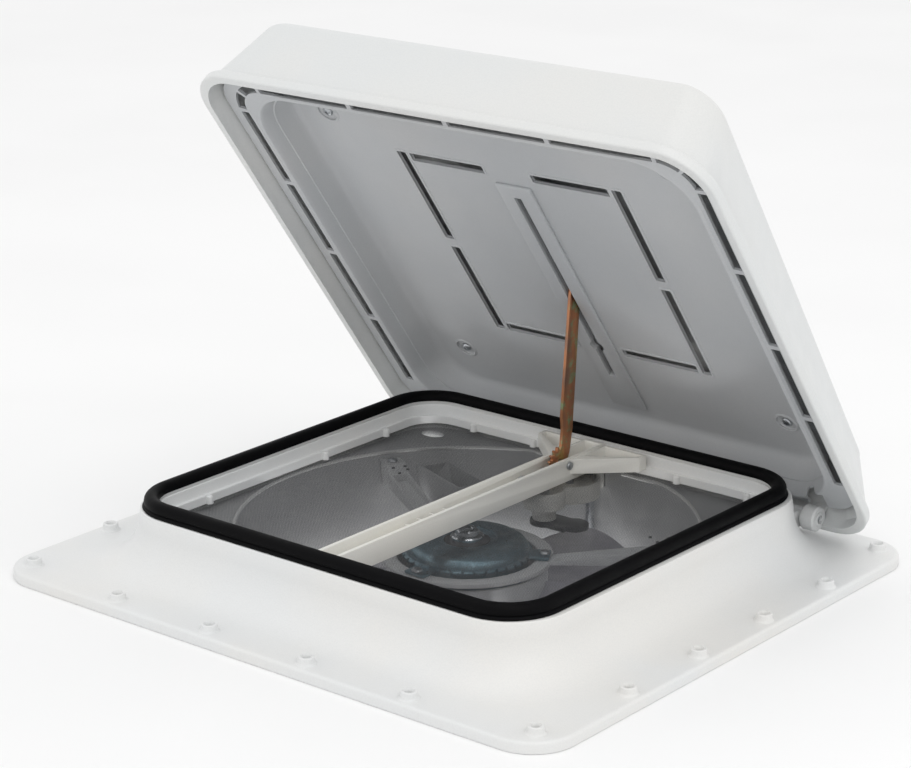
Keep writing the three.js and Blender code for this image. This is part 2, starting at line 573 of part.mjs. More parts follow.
// ---------------------------------------------------------------- lift arm (arm frame)
/** Flat steel arm along +Y from the pivot, with its toothed sector behind it. */
function liftArm() {
  const outline = [];
  const tip = SECTOR_R + 1.2;
  const root = SECTOR_R - 1.6;
  const steps = Math.round((SECTOR_TEETH * SECTOR_SPAN_DEG) / 360);
  for (let i = 0; i <= steps; i += 1) {
    const start = -14 + (i / steps) * SECTOR_SPAN_DEG;
    const pitch = 360 / SECTOR_TEETH;
    for (const [share, r] of [[0.1, root], [0.35, tip], [0.6, tip], [0.85, root]]) {
      const angle = (start + share * pitch) * RAD;
      outline.push([r * Math.cos(angle), r * Math.sin(angle)]);
    }
  }
  const sector = plate([...outline, [-9, 6], [-8, -4], [0, -9], [6, -8]], -ARM_T / 2, ARM_T / 2);
  const high = -ARM_HALF - ARM_JOG;
  const low = ARM_HALF - ARM_JOG;
  const bar = [[-2, -8], [8, high + 1], [26, high], [ARM_LENGTH, -ARM_HALF], [ARM_LENGTH + 4, -4],
    [ARM_LENGTH + 6, 0], [ARM_LENGTH + 4, 4], [ARM_LENGTH, ARM_HALF], [36, low + 2.5],
    [26, low], [9, low], [0, 4]];
  const flat = cut(union(sector, plate(bar, -ARM_T / 2, ARM_T / 2)),
    post(0, 0, -9, 9, ARM_PIN_R + PIN_FIT), post(ARM_LENGTH, 0, -9, 9, GUIDE_PIN.radius + GAP));
  const geometry = geometryOf(flat);
  return solid(geometry.applyMatrix4(new THREE.Matrix4().set(
    0, 0, 1, 0, 1, 0, 0, 0, 0, 1, 0, 0, 0, 0, 0, 1)));
}

// ---------------------------------------------------------------- fan
/** Loop of the shroud's mouth: a circle cut off by two flats along X. */
function shroudLoop(radius, flat, z, steps = 40) {
  return Array.from({ length: steps }, (_, i) => {
    const angle = (i / steps) * 2 * Math.PI;
    const limit = flat / Math.max(Math.abs(Math.sin(angle)), 1e-6);
    const r = Math.min(radius, limit);
    return [r * Math.cos(angle), r * Math.sin(angle), z];
  });
}

/** Grey shroud: square top plate, flared mouth and round throat, grooved for the crank shaft. */
function fanShroud() {
  const body = (grow, extra) => skin([
    shroudLoop(SHROUD_R + grow, 999, SHROUD_BOTTOM - extra),
    shroudLoop(SHROUD_R + grow, 999, SHROUD_THROAT),
    shroudLoop(SHROUD_TOP_R + grow, SHROUD_FLAT_Y + grow, SHROUD_TOP + extra),
  ], false);
  const within = (z0, z1) => skin([z0, z1].map((z) => neckAt(NECK_WALL + GAP, z)), false);
  const top = within(SHROUD_TOP - 3, SHROUD_TOP);
  const limit = within(SHROUD_BOTTOM - 5, SHROUD_TOP + 5);
  const drain = new THREE.CylinderGeometry(1, 1, 20, 16).rotateX(Math.PI / 2)
    .scale(DRAIN_HOLE.rx, DRAIN_HOLE.ry, 1)
    .translate(DRAIN_HOLE.inX - NECK_IN_X, NECK_IN_Y - DRAIN_HOLE.inY, SHROUD_TOP);
  const shape = union(body(SHROUD_WALL, 0).intersect(limit), top);
  return cut(shape, body(0, 1), solid(drain),
    trayLobes(TRAY.clear + TRAY.wall + 1, TRAY.bottom - 1, SHROUD_TOP + 2),
    post(0, CRANK_Y, SHROUD_BOTTOM - 2, SHROUD_TOP + 2, CRANK_SHAFT_R + 3));
}

/** The inside of the shroud, moved in by a gap, as a solid. */
function shroudMouth(gap) {
  return skin([shroudLoop(SHROUD_R - gap, 999, SHROUD_BOTTOM),
    shroudLoop(SHROUD_R - gap, 999, SHROUD_THROAT),
    shroudLoop(SHROUD_TOP_R - gap, SHROUD_FLAT_Y - gap, SHROUD_TOP)], false);
}

/** How far a bracket arm's pad reaches from the fan's axis before it meets the shroud. */
function padReach(degrees) {
  const share = (BRACKET.padTop - SHROUD_THROAT) / (SHROUD_TOP - SHROUD_THROAT);
  const flat = SHROUD_FLAT_Y / Math.max(Math.abs(Math.sin(degrees * RAD)), 1e-6);
  return SHROUD_R + (Math.min(SHROUD_TOP_R, flat) - SHROUD_R) * share;
}

/** Motor bracket: a ring under the motor's ears and three ribbed arms out to the shroud. */
function motorBracket() {
  const { half, rib, height, ring, padTop, padLength } = BRACKET;
  const seat = MOTOR.rim - MOTOR_EAR.thick / 2 - GAP;
  let shape = turned([[ring - 11, seat - 3], [ring, seat - 3], [ring, seat], [ring - 11, seat],
    [ring - 11, seat - 3]], 30);
  for (const degrees of BRACKET_ARMS_DEG) {
    const wall = padReach(degrees);
    const pad = wall - padLength;
    const side = [[ring - 5, seat - 3], [pad, padTop - height - 6], [wall, padTop - height - 8],
      [wall, padTop], [pad, padTop], [pad - 8, padTop - 6], [ring, seat], [ring - 5, seat]];
    const groove = [[pad - 9, padTop + 30], [pad - 9, padTop - height - 0.5],
      [ring + 3, seat - 0.5], [ring + 3, seat + 30]];
    const arm = cut(stoodUp(plate(side, -half, half)),
      stoodUp(plate(groove, -half + rib, half - rib)),
      post(wall - padLength / 2, 0, padTop - 12, padTop + 1, SCREW.shank + GAP, 8));
    shape = shape.add(turnedTo(arm, degrees));
  }
  for (const degrees of BRACKET_ARMS_DEG) {
    shape = shape.subtract(turnedTo(post(MOTOR_EAR.reach - 4, 0, seat - 9, seat + 1,
      SCREW.shank + GAP, 8), degrees));
  }
  return shape.intersect(shroudMouth(GAP));
}

/** A plate drawn in (radius, height) stood up so that radius runs along X. */
const stoodUp = (shape) => solid(geometryOf(shape).rotateX(Math.PI / 2));

/** A solid turned about the fan's axis. */
const turnedTo = (shape, degrees) => solid(geometryOf(shape).rotateZ(degrees * RAD));

/** Drawn steel motor can with a stepped bearing boss and three ears. */
function motorCan() {
  const { radius, top, bottom, rim } = MOTOR;
  const can = turned([[0, bottom], [radius - 5, bottom], [radius - 3, bottom + 2],
    [radius - 3, rim - 1.5], [radius, rim - 1.5], [radius, rim + 1.5], [radius - 3, rim + 3],
    [radius - 6, top - 4], [radius - 12, top - 1], [20, top], [18, top + 2.5], [9, top + 3],
    [8, top + 6.5], [0, top + 7]], 28);
  const ears = BRACKET_ARMS_DEG.map((degrees) => turnedTo(cut(
    block([radius - 8, -MOTOR_EAR.half, rim - MOTOR_EAR.thick / 2],
      [MOTOR_EAR.reach, MOTOR_EAR.half, rim + MOTOR_EAR.thick / 2]),
    post(MOTOR_EAR.reach - 4, 0, rim - 5, rim + 5, SCREW.shank + GAP, 8)), degrees));
  return cut(union(can, ...ears), post(0, 0, bottom - 1, bottom + 12, SHAFT_R + PIN_FIT));
}

/** Bowl-shaped hub with pitched blades, moulded in one piece. */
function fanRotor() {
  const { radius, wall, top, bottom } = HUB;
  let shape = turned([[SHAFT_R + 0.1, bottom], [radius - 6, bottom], [radius, bottom + 6],
    [radius, top], [radius - wall, top], [radius - wall, bottom + 7],
    [radius - 7, bottom + wall], [11, bottom + wall], [9, bottom + 12],
    [SHAFT_R + 0.1, bottom + 12], [SHAFT_R + 0.1, bottom]], 30);
  const blade = bladeSolid();
  for (let i = 0; i < BLADES; i += 1) shape = shape.add(turnedTo(blade, (i * 360) / BLADES));
  return shape;
}

/** One broad blade: a sheet swept over its span angle, dropping and cupped as it goes. */
function bladeSolid() {
  const { top, drop, thick, spanDeg } = BLADE;
  const rows = 4;
  const columns = 5;
  const root = HUB.radius - HUB.wall * 0.55;            // ends inside the hub's wall
  const at = (u, v, lift) => {
    const radius = root + (BLADE_TIP - root) * u;
    const lead = spanDeg * (0.5 - v) + 10 * Math.sin(Math.PI * u) * (0.5 - v);
    const angle = lead * RAD;
    const height = top - drop * v * (0.55 + 0.45 * u) - 3 * Math.sin(Math.PI * v) * (1 - 0.4 * u);
    return [radius * Math.cos(angle), radius * Math.sin(angle), height + lift];
  };
  const loops = Array.from({ length: rows + 1 }, (_, row) => {
    const u = row / rows;
    const upper = Array.from({ length: columns + 1 }, (__, c) => at(u, c / columns, thick / 2));
    const lower = Array.from({ length: columns + 1 }, (__, c) => at(u, 1 - c / columns, -thick / 2));
    return [...upper, ...lower];
  });
  return skin(loops, false, true);
}

/** Open-topped wiring box that reaches out to the shroud wall. */
function wiringBox() {
  const { half, length, wall, height, bottom, inward, bearing, degrees } = WIRING_BOX;
  const away = SHROUD_R - inward;
  const shape = cut(block([-length, -half, bottom], [length / 2, half, bottom + height]),
    block([-length * 0.62, -half + wall, bottom + wall],
      [length / 2 - wall, half - wall, bottom + height + 1]));
  const placed = solid(geometryOf(shape).rotateZ(degrees * RAD)
    .translate(away * Math.cos(bearing * RAD), away * Math.sin(bearing * RAD), 0));
  return placed.intersect(shroudMouth(GAP));
}

// ---------------------------------------------------------------- lid (closed pose)
/** A loop of the dome's outline, moved in by an inset, with an optional nearer rear edge. */
const domeAt = (inset, z, rear = LID_REAR - inset) => stationBetween(LID_X - inset,
  LID_FRONT + inset, rear, LID_CORNER - inset * 0.5, z);

/** Height of the dome over its bead at y, as a share of the height at its front. */
const fallAt = (y) => 1 - ((1 - DOME_FALL) * (y - LID_FRONT)) / (LID_REAR - LID_FRONT);

/** A loop of the dome above its bead: lean and round are shares of each wall's own reach. */
function domeWall(inset, lean, round, z) {
  const reach = (wall) => inset + DOME_LEAN[wall] * lean + (DOME_ROUND[wall] - inset) * round;
  const bead = LID_RIM + BEAD.height;
  return stationBetween(LID_X - BEAD.proud - reach('side'), LID_FRONT + BEAD.proud + reach('front'),
    LID_REAR - BEAD.proud - reach('rear'), LID_CORNER - (BEAD.proud + reach('side')) * 0.5, z)
    .map(([x, y, height]) => [x, y, bead + (height - bead) * fallAt(y) - inset * (1 - fallAt(y))]);
}

/** Outer dome: beaded rim, leaning walls, rounded shoulder that falls to the hinge, knuckles. */
function lidDome() {
  const { height, proud } = BEAD;
  const shoulder = (inset) => [0, 0.34, 0.68, 1].map((share) => {
    const angle = share * (Math.PI / 2);
    const drop = (DOME_ROUND.front - inset) * (1 - Math.sin(angle));
    return domeWall(inset, 1, 1 - Math.cos(angle), LID_TOP - inset - drop);
  });
  const outer = skin([domeAt(0.8, LID_RIM), domeAt(0, LID_RIM + 1.5), domeAt(0, LID_RIM + height - 2),
    domeAt(proud, LID_RIM + height), ...shoulder(0)], false);
  const inset = proud + LID_WALL;
  const inner = skin([domeAt(inset, LID_RIM - 1), domeAt(inset, LID_RIM + height),
    ...shoulder(LID_WALL)], false);
  let shape = cut(outer, inner);
  for (const side of [-1, 1]) {
    const span = [side * (COLLAR_X - KNUCKLE.inner), side * (COLLAR_X - KNUCKLE.outer)];
    const low = [Math.min(...span), HINGE_Y - 4, HINGE_Z];
    const high = [Math.max(...span), LID_REAR - KNUCKLE.behind, KNUCKLE.top];
    shape = union(shape, rod(...span, HINGE_Y, HINGE_Z, KNUCKLE.radius), block(low, high));
    shape = cut(shape, rod(span[0] - side, span[1] + side, HINGE_Y, HINGE_Z, PIN_R + PIN_FIT));
  }
  return shape;
}

/** A loop of the liner's tray, moved out from the edge of its floor. */
const linerAt = (out, z) => stationBetween(LINER_X + out, LINER_FRONT - out,
  LINER_REAR + out, LINER_CORNER + out * 0.6, z);

/** Inner liner: tray floor with slotted panel, leaning walls, slotted land and screw dimples. */
function lidLiner() {
  const landInset = BEAD.proud + LID_WALL + LAND_CLEAR;
  const land = (z) => domeAt(landInset, z, LINER_REAR + LINER_SLOPE + 3);
  const outer = skin([land(LINER_LAND), land(LINER_LAND + LINER_T),
    linerAt(LINER_SLOPE + LINER_T, LINER_LAND + LINER_T),
    linerAt(LINER_T, LINER_FLOOR + LINER_T)], false);
  const inner = skin([linerAt(LINER_SLOPE, LINER_LAND - 1), linerAt(LINER_SLOPE - 0.4, LINER_LAND + 1),
    linerAt(0, LINER_FLOOR)], false);
  let shape = cut(outer, inner);
  const ridge = TRACK.ridge;
  shape = shape.add(block([-ridge, TRACK_FRONT - 12, LINER_FLOOR - 2.4],
    [ridge, RIDGE_REAR, LINER_FLOOR + 1]));
  const slots = [...landSlots(), ...panelSlots()].map(([x0, x1, y0, y1]) =>
    block([x0, y0, LINER_LAND - 4], [x1, y1, LINER_FLOOR + 8]));
  const track = block([-TRACK.slot / 2, TRACK_FRONT, LINER_FLOOR - 6],
    [TRACK.slot / 2, TRACK_REAR, LINER_FLOOR + 8]);
  const mouth = post(0, TRACK_REAR - 36, LINER_FLOOR - 6, LINER_FLOOR + 8, 6);
  shape = cut(shape, track, mouth, ...slots);
  for (const x of [-LID_SCREW_X, LID_SCREW_X]) {
    for (const y of LID_SCREW_Y) {
      shape = shape.subtract(post(x, y, LINER_FLOOR - 3, LINER_FLOOR + 6, SCREW.shank + GAP, 8));
    }
  }
  for (const side of [-1, 1]) {
    const span = [side * (COLLAR_X - KNUCKLE.inner - 2), side * (COLLAR_X - KNUCKLE.outer + 2)];
    shape = shape.subtract(block([Math.min(...span), LINER_REAR, LID_RIM],
      [Math.max(...span), LID_REAR, LINER_LAND + 6]));
  }
  return shape;
}

/** Slots in the land, as [x0, x1, y0, y1], with bridges left between them. */
function landSlots() {
  const x = LINER_X + SLOT_OUT.side;
  const y = LINER_FRONT - SLOT_OUT.front;
  const { perSide, bridge, front, rear, side: sideInset } = SLOT_RUN;
  const runs = (from, to) => Array.from({ length: perSide }, (_, i) =>
    [i, i + 1].map((k) => from + ((to - from) * k) / perSide))
    .map(([low, high]) => [low + bridge / 2, high - bridge / 2]);
  const slots = [];
  for (const run of runs(LINER_FRONT + front, LINER_REAR - rear)) {
    for (const side of [-1, 1]) {
      slots.push([side * x - SLOT_W / 2, side * x + SLOT_W / 2, ...run]);
    }
  }
  for (const run of runs(sideInset - LINER_X, LINER_X - sideInset)) {
    slots.push([...run, y - SLOT_W / 2, y + SLOT_W / 2]);
  }
  return slots;
}

/** Slots round the raised panel of the tray floor, as [x0, x1, y0, y1]. */
function panelSlots() {
  const { slot, bridge } = PANEL;
  const halfX = LINER_X - PANEL.side;
  const front = LINER_FRONT + PANEL.front;
  const rear = LINER_REAR - PANEL.rear;
  const middle = (front + rear) / 2;
  const slots = [];
  for (const side of [-1, 1]) {
    const outer = [side * halfX, side * (halfX - slot)].sort((a, b) => a - b);
    slots.push([...outer, front, middle - bridge / 2], [...outer, middle + bridge / 2, rear]);
    const inner = [side * (TRACK.ridge + 6), side * (halfX - slot - 4)].sort((a, b) => a - b);
    slots.push([...inner, front, front + slot], [...inner, rear - slot, rear]);
  }
  return slots;
}

/** Channel behind the liner in which the arm's guide pin slides. */
function liftTrack() {
  const { half, wall, height, short } = TRACK;
  const low = LINER_FLOOR + LINER_T + GAP;
  const whole = block([-half, TRACK_FRONT - 4, low], [half, TRACK_REAR - short, low + height]);
  return cut(whole, block([-half + wall, TRACK_FRONT - 2, low - 1],
    [half - wall, TRACK_REAR - short - wall, low + height - wall]),
  block([-ARM_SLOT, TRACK_FRONT - 2, low - 1],
    [ARM_SLOT, TRACK_REAR - short + 1, low + height + 1]));
}

// ---------------------------------------------------------------- assembly
part(group, 'base_frame', baseFrame(), WHITE);
part(group, 'weather_seal', weatherSeal(), RUBBER);
part(group, 'screen_frame', screenFrame(), WHITE);
part(group, 'insect_screen', insectScreen(), MESH_GREY);
part(group, 'crossbar', crossbar(), WARM_WHITE);
part(group, 'gear_tray', gearTray(), WARM_WHITE);
part(group, 'worm_end_cap', bearingCap(), BLACK);
part(group, 'fan_shroud', fanShroud(), SHROUD_GREY);
part(group, 'motor_bracket', motorBracket(), SHROUD_GREY);
part(group, 'motor_can', motorCan(), MOTOR_BLUE);
part(group, 'wiring_box', wiringBox(), SHROUD_GREY);

BRACKET_ARMS_DEG.forEach((degrees, i) => {
  const outer = padReach(degrees) - BRACKET.padLength / 2;
  const pad = part(group, `bracket_screw_${i + 1}`,
    screwSolid(0, 0, BRACKET.padTop + GAP, { ...SCREW, length: 9 }), ZINC);
  pad.position.set(outer * Math.cos(degrees * RAD), outer * Math.sin(degrees * RAD), 0);
  const ear = part(group, `motor_screw_${i + 1}`,
    screwSolid(0, 0, MOTOR.rim + MOTOR_EAR.thick / 2 + GAP, { ...SCREW, length: 8 }), ZINC);
  const reach = MOTOR_EAR.reach - 4;
  ear.position.set(reach * Math.cos(degrees * RAD), reach * Math.sin(degrees * RAD), 0);
});

part(group, 'tray_screw', screwSolid(0, TRAY_SCREW_Y, TRAY_SCREW_Z + GAP,
  { ...SCREW, shank: 1.4, length: 10 }), ZINC);
part(group, 'arm_pivot_pin', rod(-BAR_HALF - 1.5, BAR_HALF + 1.5, ARM_PIVOT_Y, ARM_PIVOT_Z,
  ARM_PIN_R), ZINC);
part(group, 'idler_pin', post(0, IDLER_Y, TRAY.bottom, TRAY.top - 1, PIN_R), ZINC);
for (const [side, word] of [[-1, 'left'], [1, 'right']]) {
  part(group, `hinge_pin_${word}`, rod(side * (COLLAR_X - HINGE_BOSS.inner + 4),
    side * (COLLAR_X - KNUCKLE.outer - 1), HINGE_Y, HINGE_Z, PIN_R), ZINC);
}

// worm, idler and crank, each turning about its own upright axis
part(group, 'worm_shaft', turned([[0, TRAY_BOSS.bottom + 1], [SHAFT_R, TRAY_BOSS.bottom + 1],
  [SHAFT_R, BAR_BOTTOM + 2], [WORM_TIP_R, BAR_BOTTOM + 3], [WORM_TIP_R, WORM_TOP - 2],
  [3, WORM_TOP], [0, WORM_TOP]], 16, 0, WORM_Y), ZINC);
const meshed = (phase, teeth, nextTeeth) => 0.75 * nextTeeth + 0.25 * teeth - phase + 0.5;
const idlerPhase = meshed(0, TEETH.worm, TEETH.idler);
const crankPhase = meshed(idlerPhase, TEETH.idler, TEETH.crank);
const wormGear = part(group, 'worm_gear', gear(TEETH.worm, SHAFT_R + GAP, 0), NATURAL);
wormGear.position.set(0, WORM_Y, 0);
const idler = part(group, 'idler_gear', gear(TEETH.idler, PIN_R + PIN_FIT, idlerPhase), NATURAL);
idler.position.set(0, IDLER_Y, 0);
const pinion = part(group, 'crank_pinion', gear(TEETH.crank, CRANK_SHAFT_R + GAP, crankPhase), NATURAL);
pinion.position.set(0, CRANK_Y, 0);
part(group, 'crank_shaft', post(0, CRANK_Y, CRANK_BOTTOM + 7, TRAY.top - 2, CRANK_SHAFT_R), ZINC);
const knob = part(group, 'crank_knob', crankKnob(), WHITE);
knob.position.set(0, CRANK_Y, 0);

// fan rotor, shaft and nut
part(group, 'fan_rotor', fanRotor(), SMOKE);
part(group, 'motor_shaft', post(0, 0, HUB.bottom - 14, MOTOR.bottom + 10, SHAFT_R - 0.2), ZINC);
part(group, 'rotor_nut', cut(post(0, 0, HUB.bottom - GAP - 7, HUB.bottom - GAP, 8, 6),
  post(0, 0, HUB.bottom - 20, HUB.bottom + 1, SHAFT_R + GAP)), ZINC);

// lift arm on its pivot
const arm = new THREE.Group();
arm.position.set(0, ARM_PIVOT_Y, ARM_PIVOT_Z);
arm.rotation.x = ARM_ANGLE;
part(arm, 'lift_arm', liftArm(), GOLD_ZINC);
part(arm, 'arm_guide_pin', rod(-GUIDE_PIN.half + 1.4, GUIDE_PIN.half - 1.4, ARM_LENGTH, 0,
  GUIDE_PIN.radius), ZINC);
group.add(arm);

// lid, swung open about the hinge
const hinge = new THREE.Group();
hinge.position.set(0, HINGE_Y, HINGE_Z);
hinge.rotation.x = -open;
const lid = new THREE.Group();
lid.position.set(0, -HINGE_Y, -HINGE_Z);
hinge.add(lid);
group.add(hinge);
part(lid, 'lid_dome', lidDome(), WHITE);
part(lid, 'lid_liner', lidLiner(), LINER_GREY);
part(lid, 'lift_track', liftTrack(), ZINC);
let lidScrew = 0;
for (const y of LID_SCREW_Y) {
  for (const x of [-LID_SCREW_X, LID_SCREW_X]) {
    lidScrew += 1;
    const screw = part(lid, `lid_screw_${lidScrew}`, screwSolid(0, 0, 0, LID_SCREW), ZINC);
    screw.rotation.x = Math.PI;
    screw.position.set(x, y, LINER_FLOOR - GAP);
  }
}

export default group;
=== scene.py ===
"""Roof vent cover with its lid standing open: the look of every piece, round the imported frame.

Shapes are worked out in millimetres on the frame's axes (X along the hinge, +Y to the hinge,
+Z up from the roof) and become metres when a mesh is made. The lid's pieces are worked out closed
and then swung open about the hinge line.
"""
import json
import math

import bmesh
import bpy
import numpy as np
from mathutils import Matrix, Vector


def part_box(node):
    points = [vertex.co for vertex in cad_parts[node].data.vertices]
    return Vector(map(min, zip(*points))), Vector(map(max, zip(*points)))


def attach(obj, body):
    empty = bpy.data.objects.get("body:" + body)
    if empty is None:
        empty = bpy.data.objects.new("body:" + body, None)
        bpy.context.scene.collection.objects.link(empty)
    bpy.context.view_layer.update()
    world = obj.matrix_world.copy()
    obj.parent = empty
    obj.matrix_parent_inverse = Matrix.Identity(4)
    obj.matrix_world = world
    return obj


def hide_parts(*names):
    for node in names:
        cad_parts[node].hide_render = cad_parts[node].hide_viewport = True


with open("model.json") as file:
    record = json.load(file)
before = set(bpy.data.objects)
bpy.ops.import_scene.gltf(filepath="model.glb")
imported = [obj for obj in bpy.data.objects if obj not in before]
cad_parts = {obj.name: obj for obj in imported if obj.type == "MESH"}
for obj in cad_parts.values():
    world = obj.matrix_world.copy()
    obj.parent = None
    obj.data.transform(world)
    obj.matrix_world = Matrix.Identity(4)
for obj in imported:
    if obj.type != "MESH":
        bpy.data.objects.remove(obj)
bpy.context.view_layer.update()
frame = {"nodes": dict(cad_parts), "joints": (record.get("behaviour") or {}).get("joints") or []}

MM = 0.001
GAP = 0.3
TURN = 2 * math.pi


def box_mm(node):
    """Lowest and highest corner of a node, in millimetres."""
    low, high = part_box(node)
    return np.array(low) / MM, np.array(high) / MM


joints = {joint["name"]: joint for joint in frame["joints"]}


def joint_at(name):
    """A joint's place in millimetres."""
    return np.array(joints[name]["pos_m"]) / MM


# ---------------------------------------------------------------- sizes taken from the frame
flange_low, flange_high = box_mm("base_frame")
shroud_high = box_mm("fan_shroud")[1]
seal_high = box_mm("weather_seal")[1]
screen_low, screen_high = box_mm("insect_screen")
rim_low, rim_high = box_mm("screen_frame")
motor_low, motor_high = box_mm("motor_can")
rotor_high = box_mm("fan_rotor")[1]

NECK_WALL = 2.5
NECK_X = shroud_high[0] + GAP + NECK_WALL
NECK_Y = shroud_high[1] + GAP + NECK_WALL
NECK_CORNER = 34.0
NECK_BOTTOM = flange_low[2]
UPSTAND = 3.0
COLLAR_TOP = flange_high[2] - UPSTAND
COLLAR_X = NECK_X + 11.5
COLLAR_FRONT = -NECK_Y - 8.5
COLLAR_REAR = NECK_Y + 10.0
COLLAR_CORNER = NECK_CORNER + 11.5
COLLAR_WALL = 3.0
FILLET = 34.0
REAR_SWEEP = 0.75
FLANGE_TOP = 8.0
FLANGE_PLATE = 3.0
FLANGE_CORNER = 33.0
FLANGE_ROUND = 2.5
HINGE = joint_at("lid_hinge")
OPEN = math.radians(joints["lid_hinge"]["range_deg"][1])
PIN_R = 3.0
PIN_FIT = 0.35
AXIS = 0.01                       # inner radius of a turned shape that reaches its own axis

# screw bosses of the flange
BOSS_CORNER_IN = 20.2             # in from the flange's rim, at its corners
BOSS_SIDE_IN = 11.0               # and along its sides
BOSS_SHARES = (-0.582, -0.194, 0.194, 0.582)
BOSS_HOLE = 4.0
BOSS_HEIGHT = 5.2

# hinge: ends are measured in from the collar's side
BRACKET_IN = (40.0, 18.5)
BRACKET_R = 6.3
PIN_IN = (36.0, 6.0)
DISC_IN = (17.0, 5.0)
DISC_R = 9.5
CORNER_STEPS = 14

# weather seal
BULB_R = 5.6

# lid, in its closed place
RIM_Z = 21.5
LID_TOP = 91.0
LID_WALL = 3.0
LID_CORNER = 38.0
BEAD_HEIGHT = 9.0
BEAD_PROUD = 3.5
DOME_LEAN = {"side": 20.0, "front": 2.0, "rear": 20.0}
DOME_ROUND = {"side": 30.0, "front": 10.0, "rear": 30.0}
DOME_FALL = 0.66
LAND_CLEAR = 4.8
LID_X = COLLAR_X + 41.0
LID_FRONT = COLLAR_FRONT - 37.5
LID_REAR = COLLAR_REAR + 28.5
LAND_Z = 33.5
LINER_T = 2.2
LINER_SLOPE = 9.0
LINER_X = NECK_X + 8.5
LINER_FRONT = -NECK_Y - 6.5
LINER_REAR = NECK_Y + 8.5
LINER_CORNER = 36.0
RIDGE_HALF = 16.0
RIDGE_DEEP = 2.4
TRACK_FRONT = LINER_FRONT + 88.5
TRACK_REAR = LINER_REAR - 53.5
TRACK_HALF = 3.25
MOUTH_R = 6.0
MOUTH_Y = TRACK_REAR - 36.0
CUT_UNDER, CUT_OVER = 6.0, 8.0    # how far a cutting tool passes the liner's sheet
SEAL_R = 5.3
LAND_SLOT_HALF = 3.8
CORNER_SLOT_R = 28.0
CORNER_SLOT_SPANS = ((6, 42), (48, 86))     # degrees round each front corner
PANEL_SLOT = 8.0
FLOOR_Z = COLLAR_TOP + 2 * (GAP + SEAL_R)


# ---------------------------------------------------------------- shader values
class Field:
    """A value, colour or vector in a material. Sums and products of values add Math nodes."""

    def __init__(self, shader, socket):
        self.shader = shader
        self.socket = socket

    def _math(self, operation, *terms):
        names = {i: term for i, term in enumerate(terms)}
        return self.shader.node("ShaderNodeMath", {"operation": operation}, names)

    def __add__(self, other):
        return self._math("ADD", self, other)

    __radd__ = __add__

    def __sub__(self, other):
        return self._math("SUBTRACT", self, other)

    def __rsub__(self, other):
        return self._math("SUBTRACT", other, self)

    def __mul__(self, other):
        return self._math("MULTIPLY", self, other)

    __rmul__ = __mul__

    def ramp(self, low, high, to_low=0.0, to_high=1.0):
        """Smooth step of this value from low..high to to_low..to_high."""
        values = {"Value": self, "From Min": low, "From Max": high, "To Min": to_low,
                  "To Max": to_high}
        return self.shader.node("ShaderNodeMapRange", {"interpolation_type": "SMOOTHSTEP"}, values)


class Shader:
    """One material on the Principled shader, built by expressions on Object coordinates."""

    def __init__(self, name):
        self.material = bpy.data.materials.new(name)
        self.material.use_nodes = True
        self.tree = self.material.node_tree
        self.bsdf = self.tree.nodes["Principled BSDF"]
        coordinates = self.tree.nodes.new("ShaderNodeTexCoord")
        self.place = Field(self, coordinates.outputs["Object"])

    def node(self, kind, settings=None, inputs=None, output=0):
        """Adds a node: settings first, then values or links for its sockets."""
        made = self.tree.nodes.new(kind)
        for key, value in (settings or {}).items():
            setattr(made, key, value)
        for key, value in (inputs or {}).items():
            self._join(made.inputs[key], value)
        return Field(self, made.outputs[output])

    def _join(self, socket, value):
        if isinstance(value, Field):
            self.tree.links.new(value.socket, socket)
        else:
            socket.default_value = value

    def noise(self, scale, detail=2.0, roughness=0.5, stretch=None):
        """Noise between 0 and 1 with features of about 1/scale metres."""
        place = self.place
        if stretch:
            place = self.node("ShaderNodeMapping", None, {"Vector": place, "Scale": stretch})
        values = {"Vector": place, "Scale": scale, "Detail": detail, "Roughness": roughness}
        return self.node("ShaderNodeTexNoise", None, values)

    def mix(self, share, first, second):
        """A colour between first and second."""
        return self.node("ShaderNodeMix", {"data_type": "RGBA"},
                         {0: share, 6: rgba(first), 7: rgba(second)}, 2)

    def bump(self, height, strength, distance):
        """A surface normal lifted by a height field; distance in metres."""
        values = {"Height": height, "Strength": strength, "Distance": distance}
        return self.node("ShaderNodeBump", None, values)

    def set(self, **sockets):
        """Sets or links the Principled shader's sockets; underscores stand for spaces."""
        for key, value in sockets.items():
            socket = self.bsdf.inputs[key.replace("_", " ")]
            if not isinstance(value, Field) and isinstance(value, (tuple, list)):
                value = rgba(value)
            self._join(socket, value)
        return self.material


def rgba(colour):
    """A colour with its alpha, or a field as it is."""
    return colour if isinstance(colour, Field) else (*colour[:3], 1.0)


def scaled(colour, factor):
    return tuple(min(1.0, channel * factor) for channel in colour)


def moulded(name, colour, warm, roughness):
    """Moulded plastic: faint cloudy tint, fine orange-peel skin and handling marks in the gloss."""
    shader = Shader(name)
    cloud = shader.noise(7.0, 3.0)
    speck = shader.noise(900.0, 2.0)
    tint = shader.mix(cloud.ramp(0.35, 0.7), colour, warm)
    shade = shader.mix(speck.ramp(0.3, 0.75) * 0.25, tint, scaled(colour, 0.86))
    wear = shader.noise(60.0, 4.0).ramp(0.3, 0.7, -0.05, 0.06)
    skin_height = shader.noise(1400.0, 2.0) * 0.6 + shader.noise(260.0, 2.0) * 0.4
    return shader.set(Base_Color=shade, Roughness=wear + roughness,
                      Normal=shader.bump(skin_height, 0.5, 0.00004))


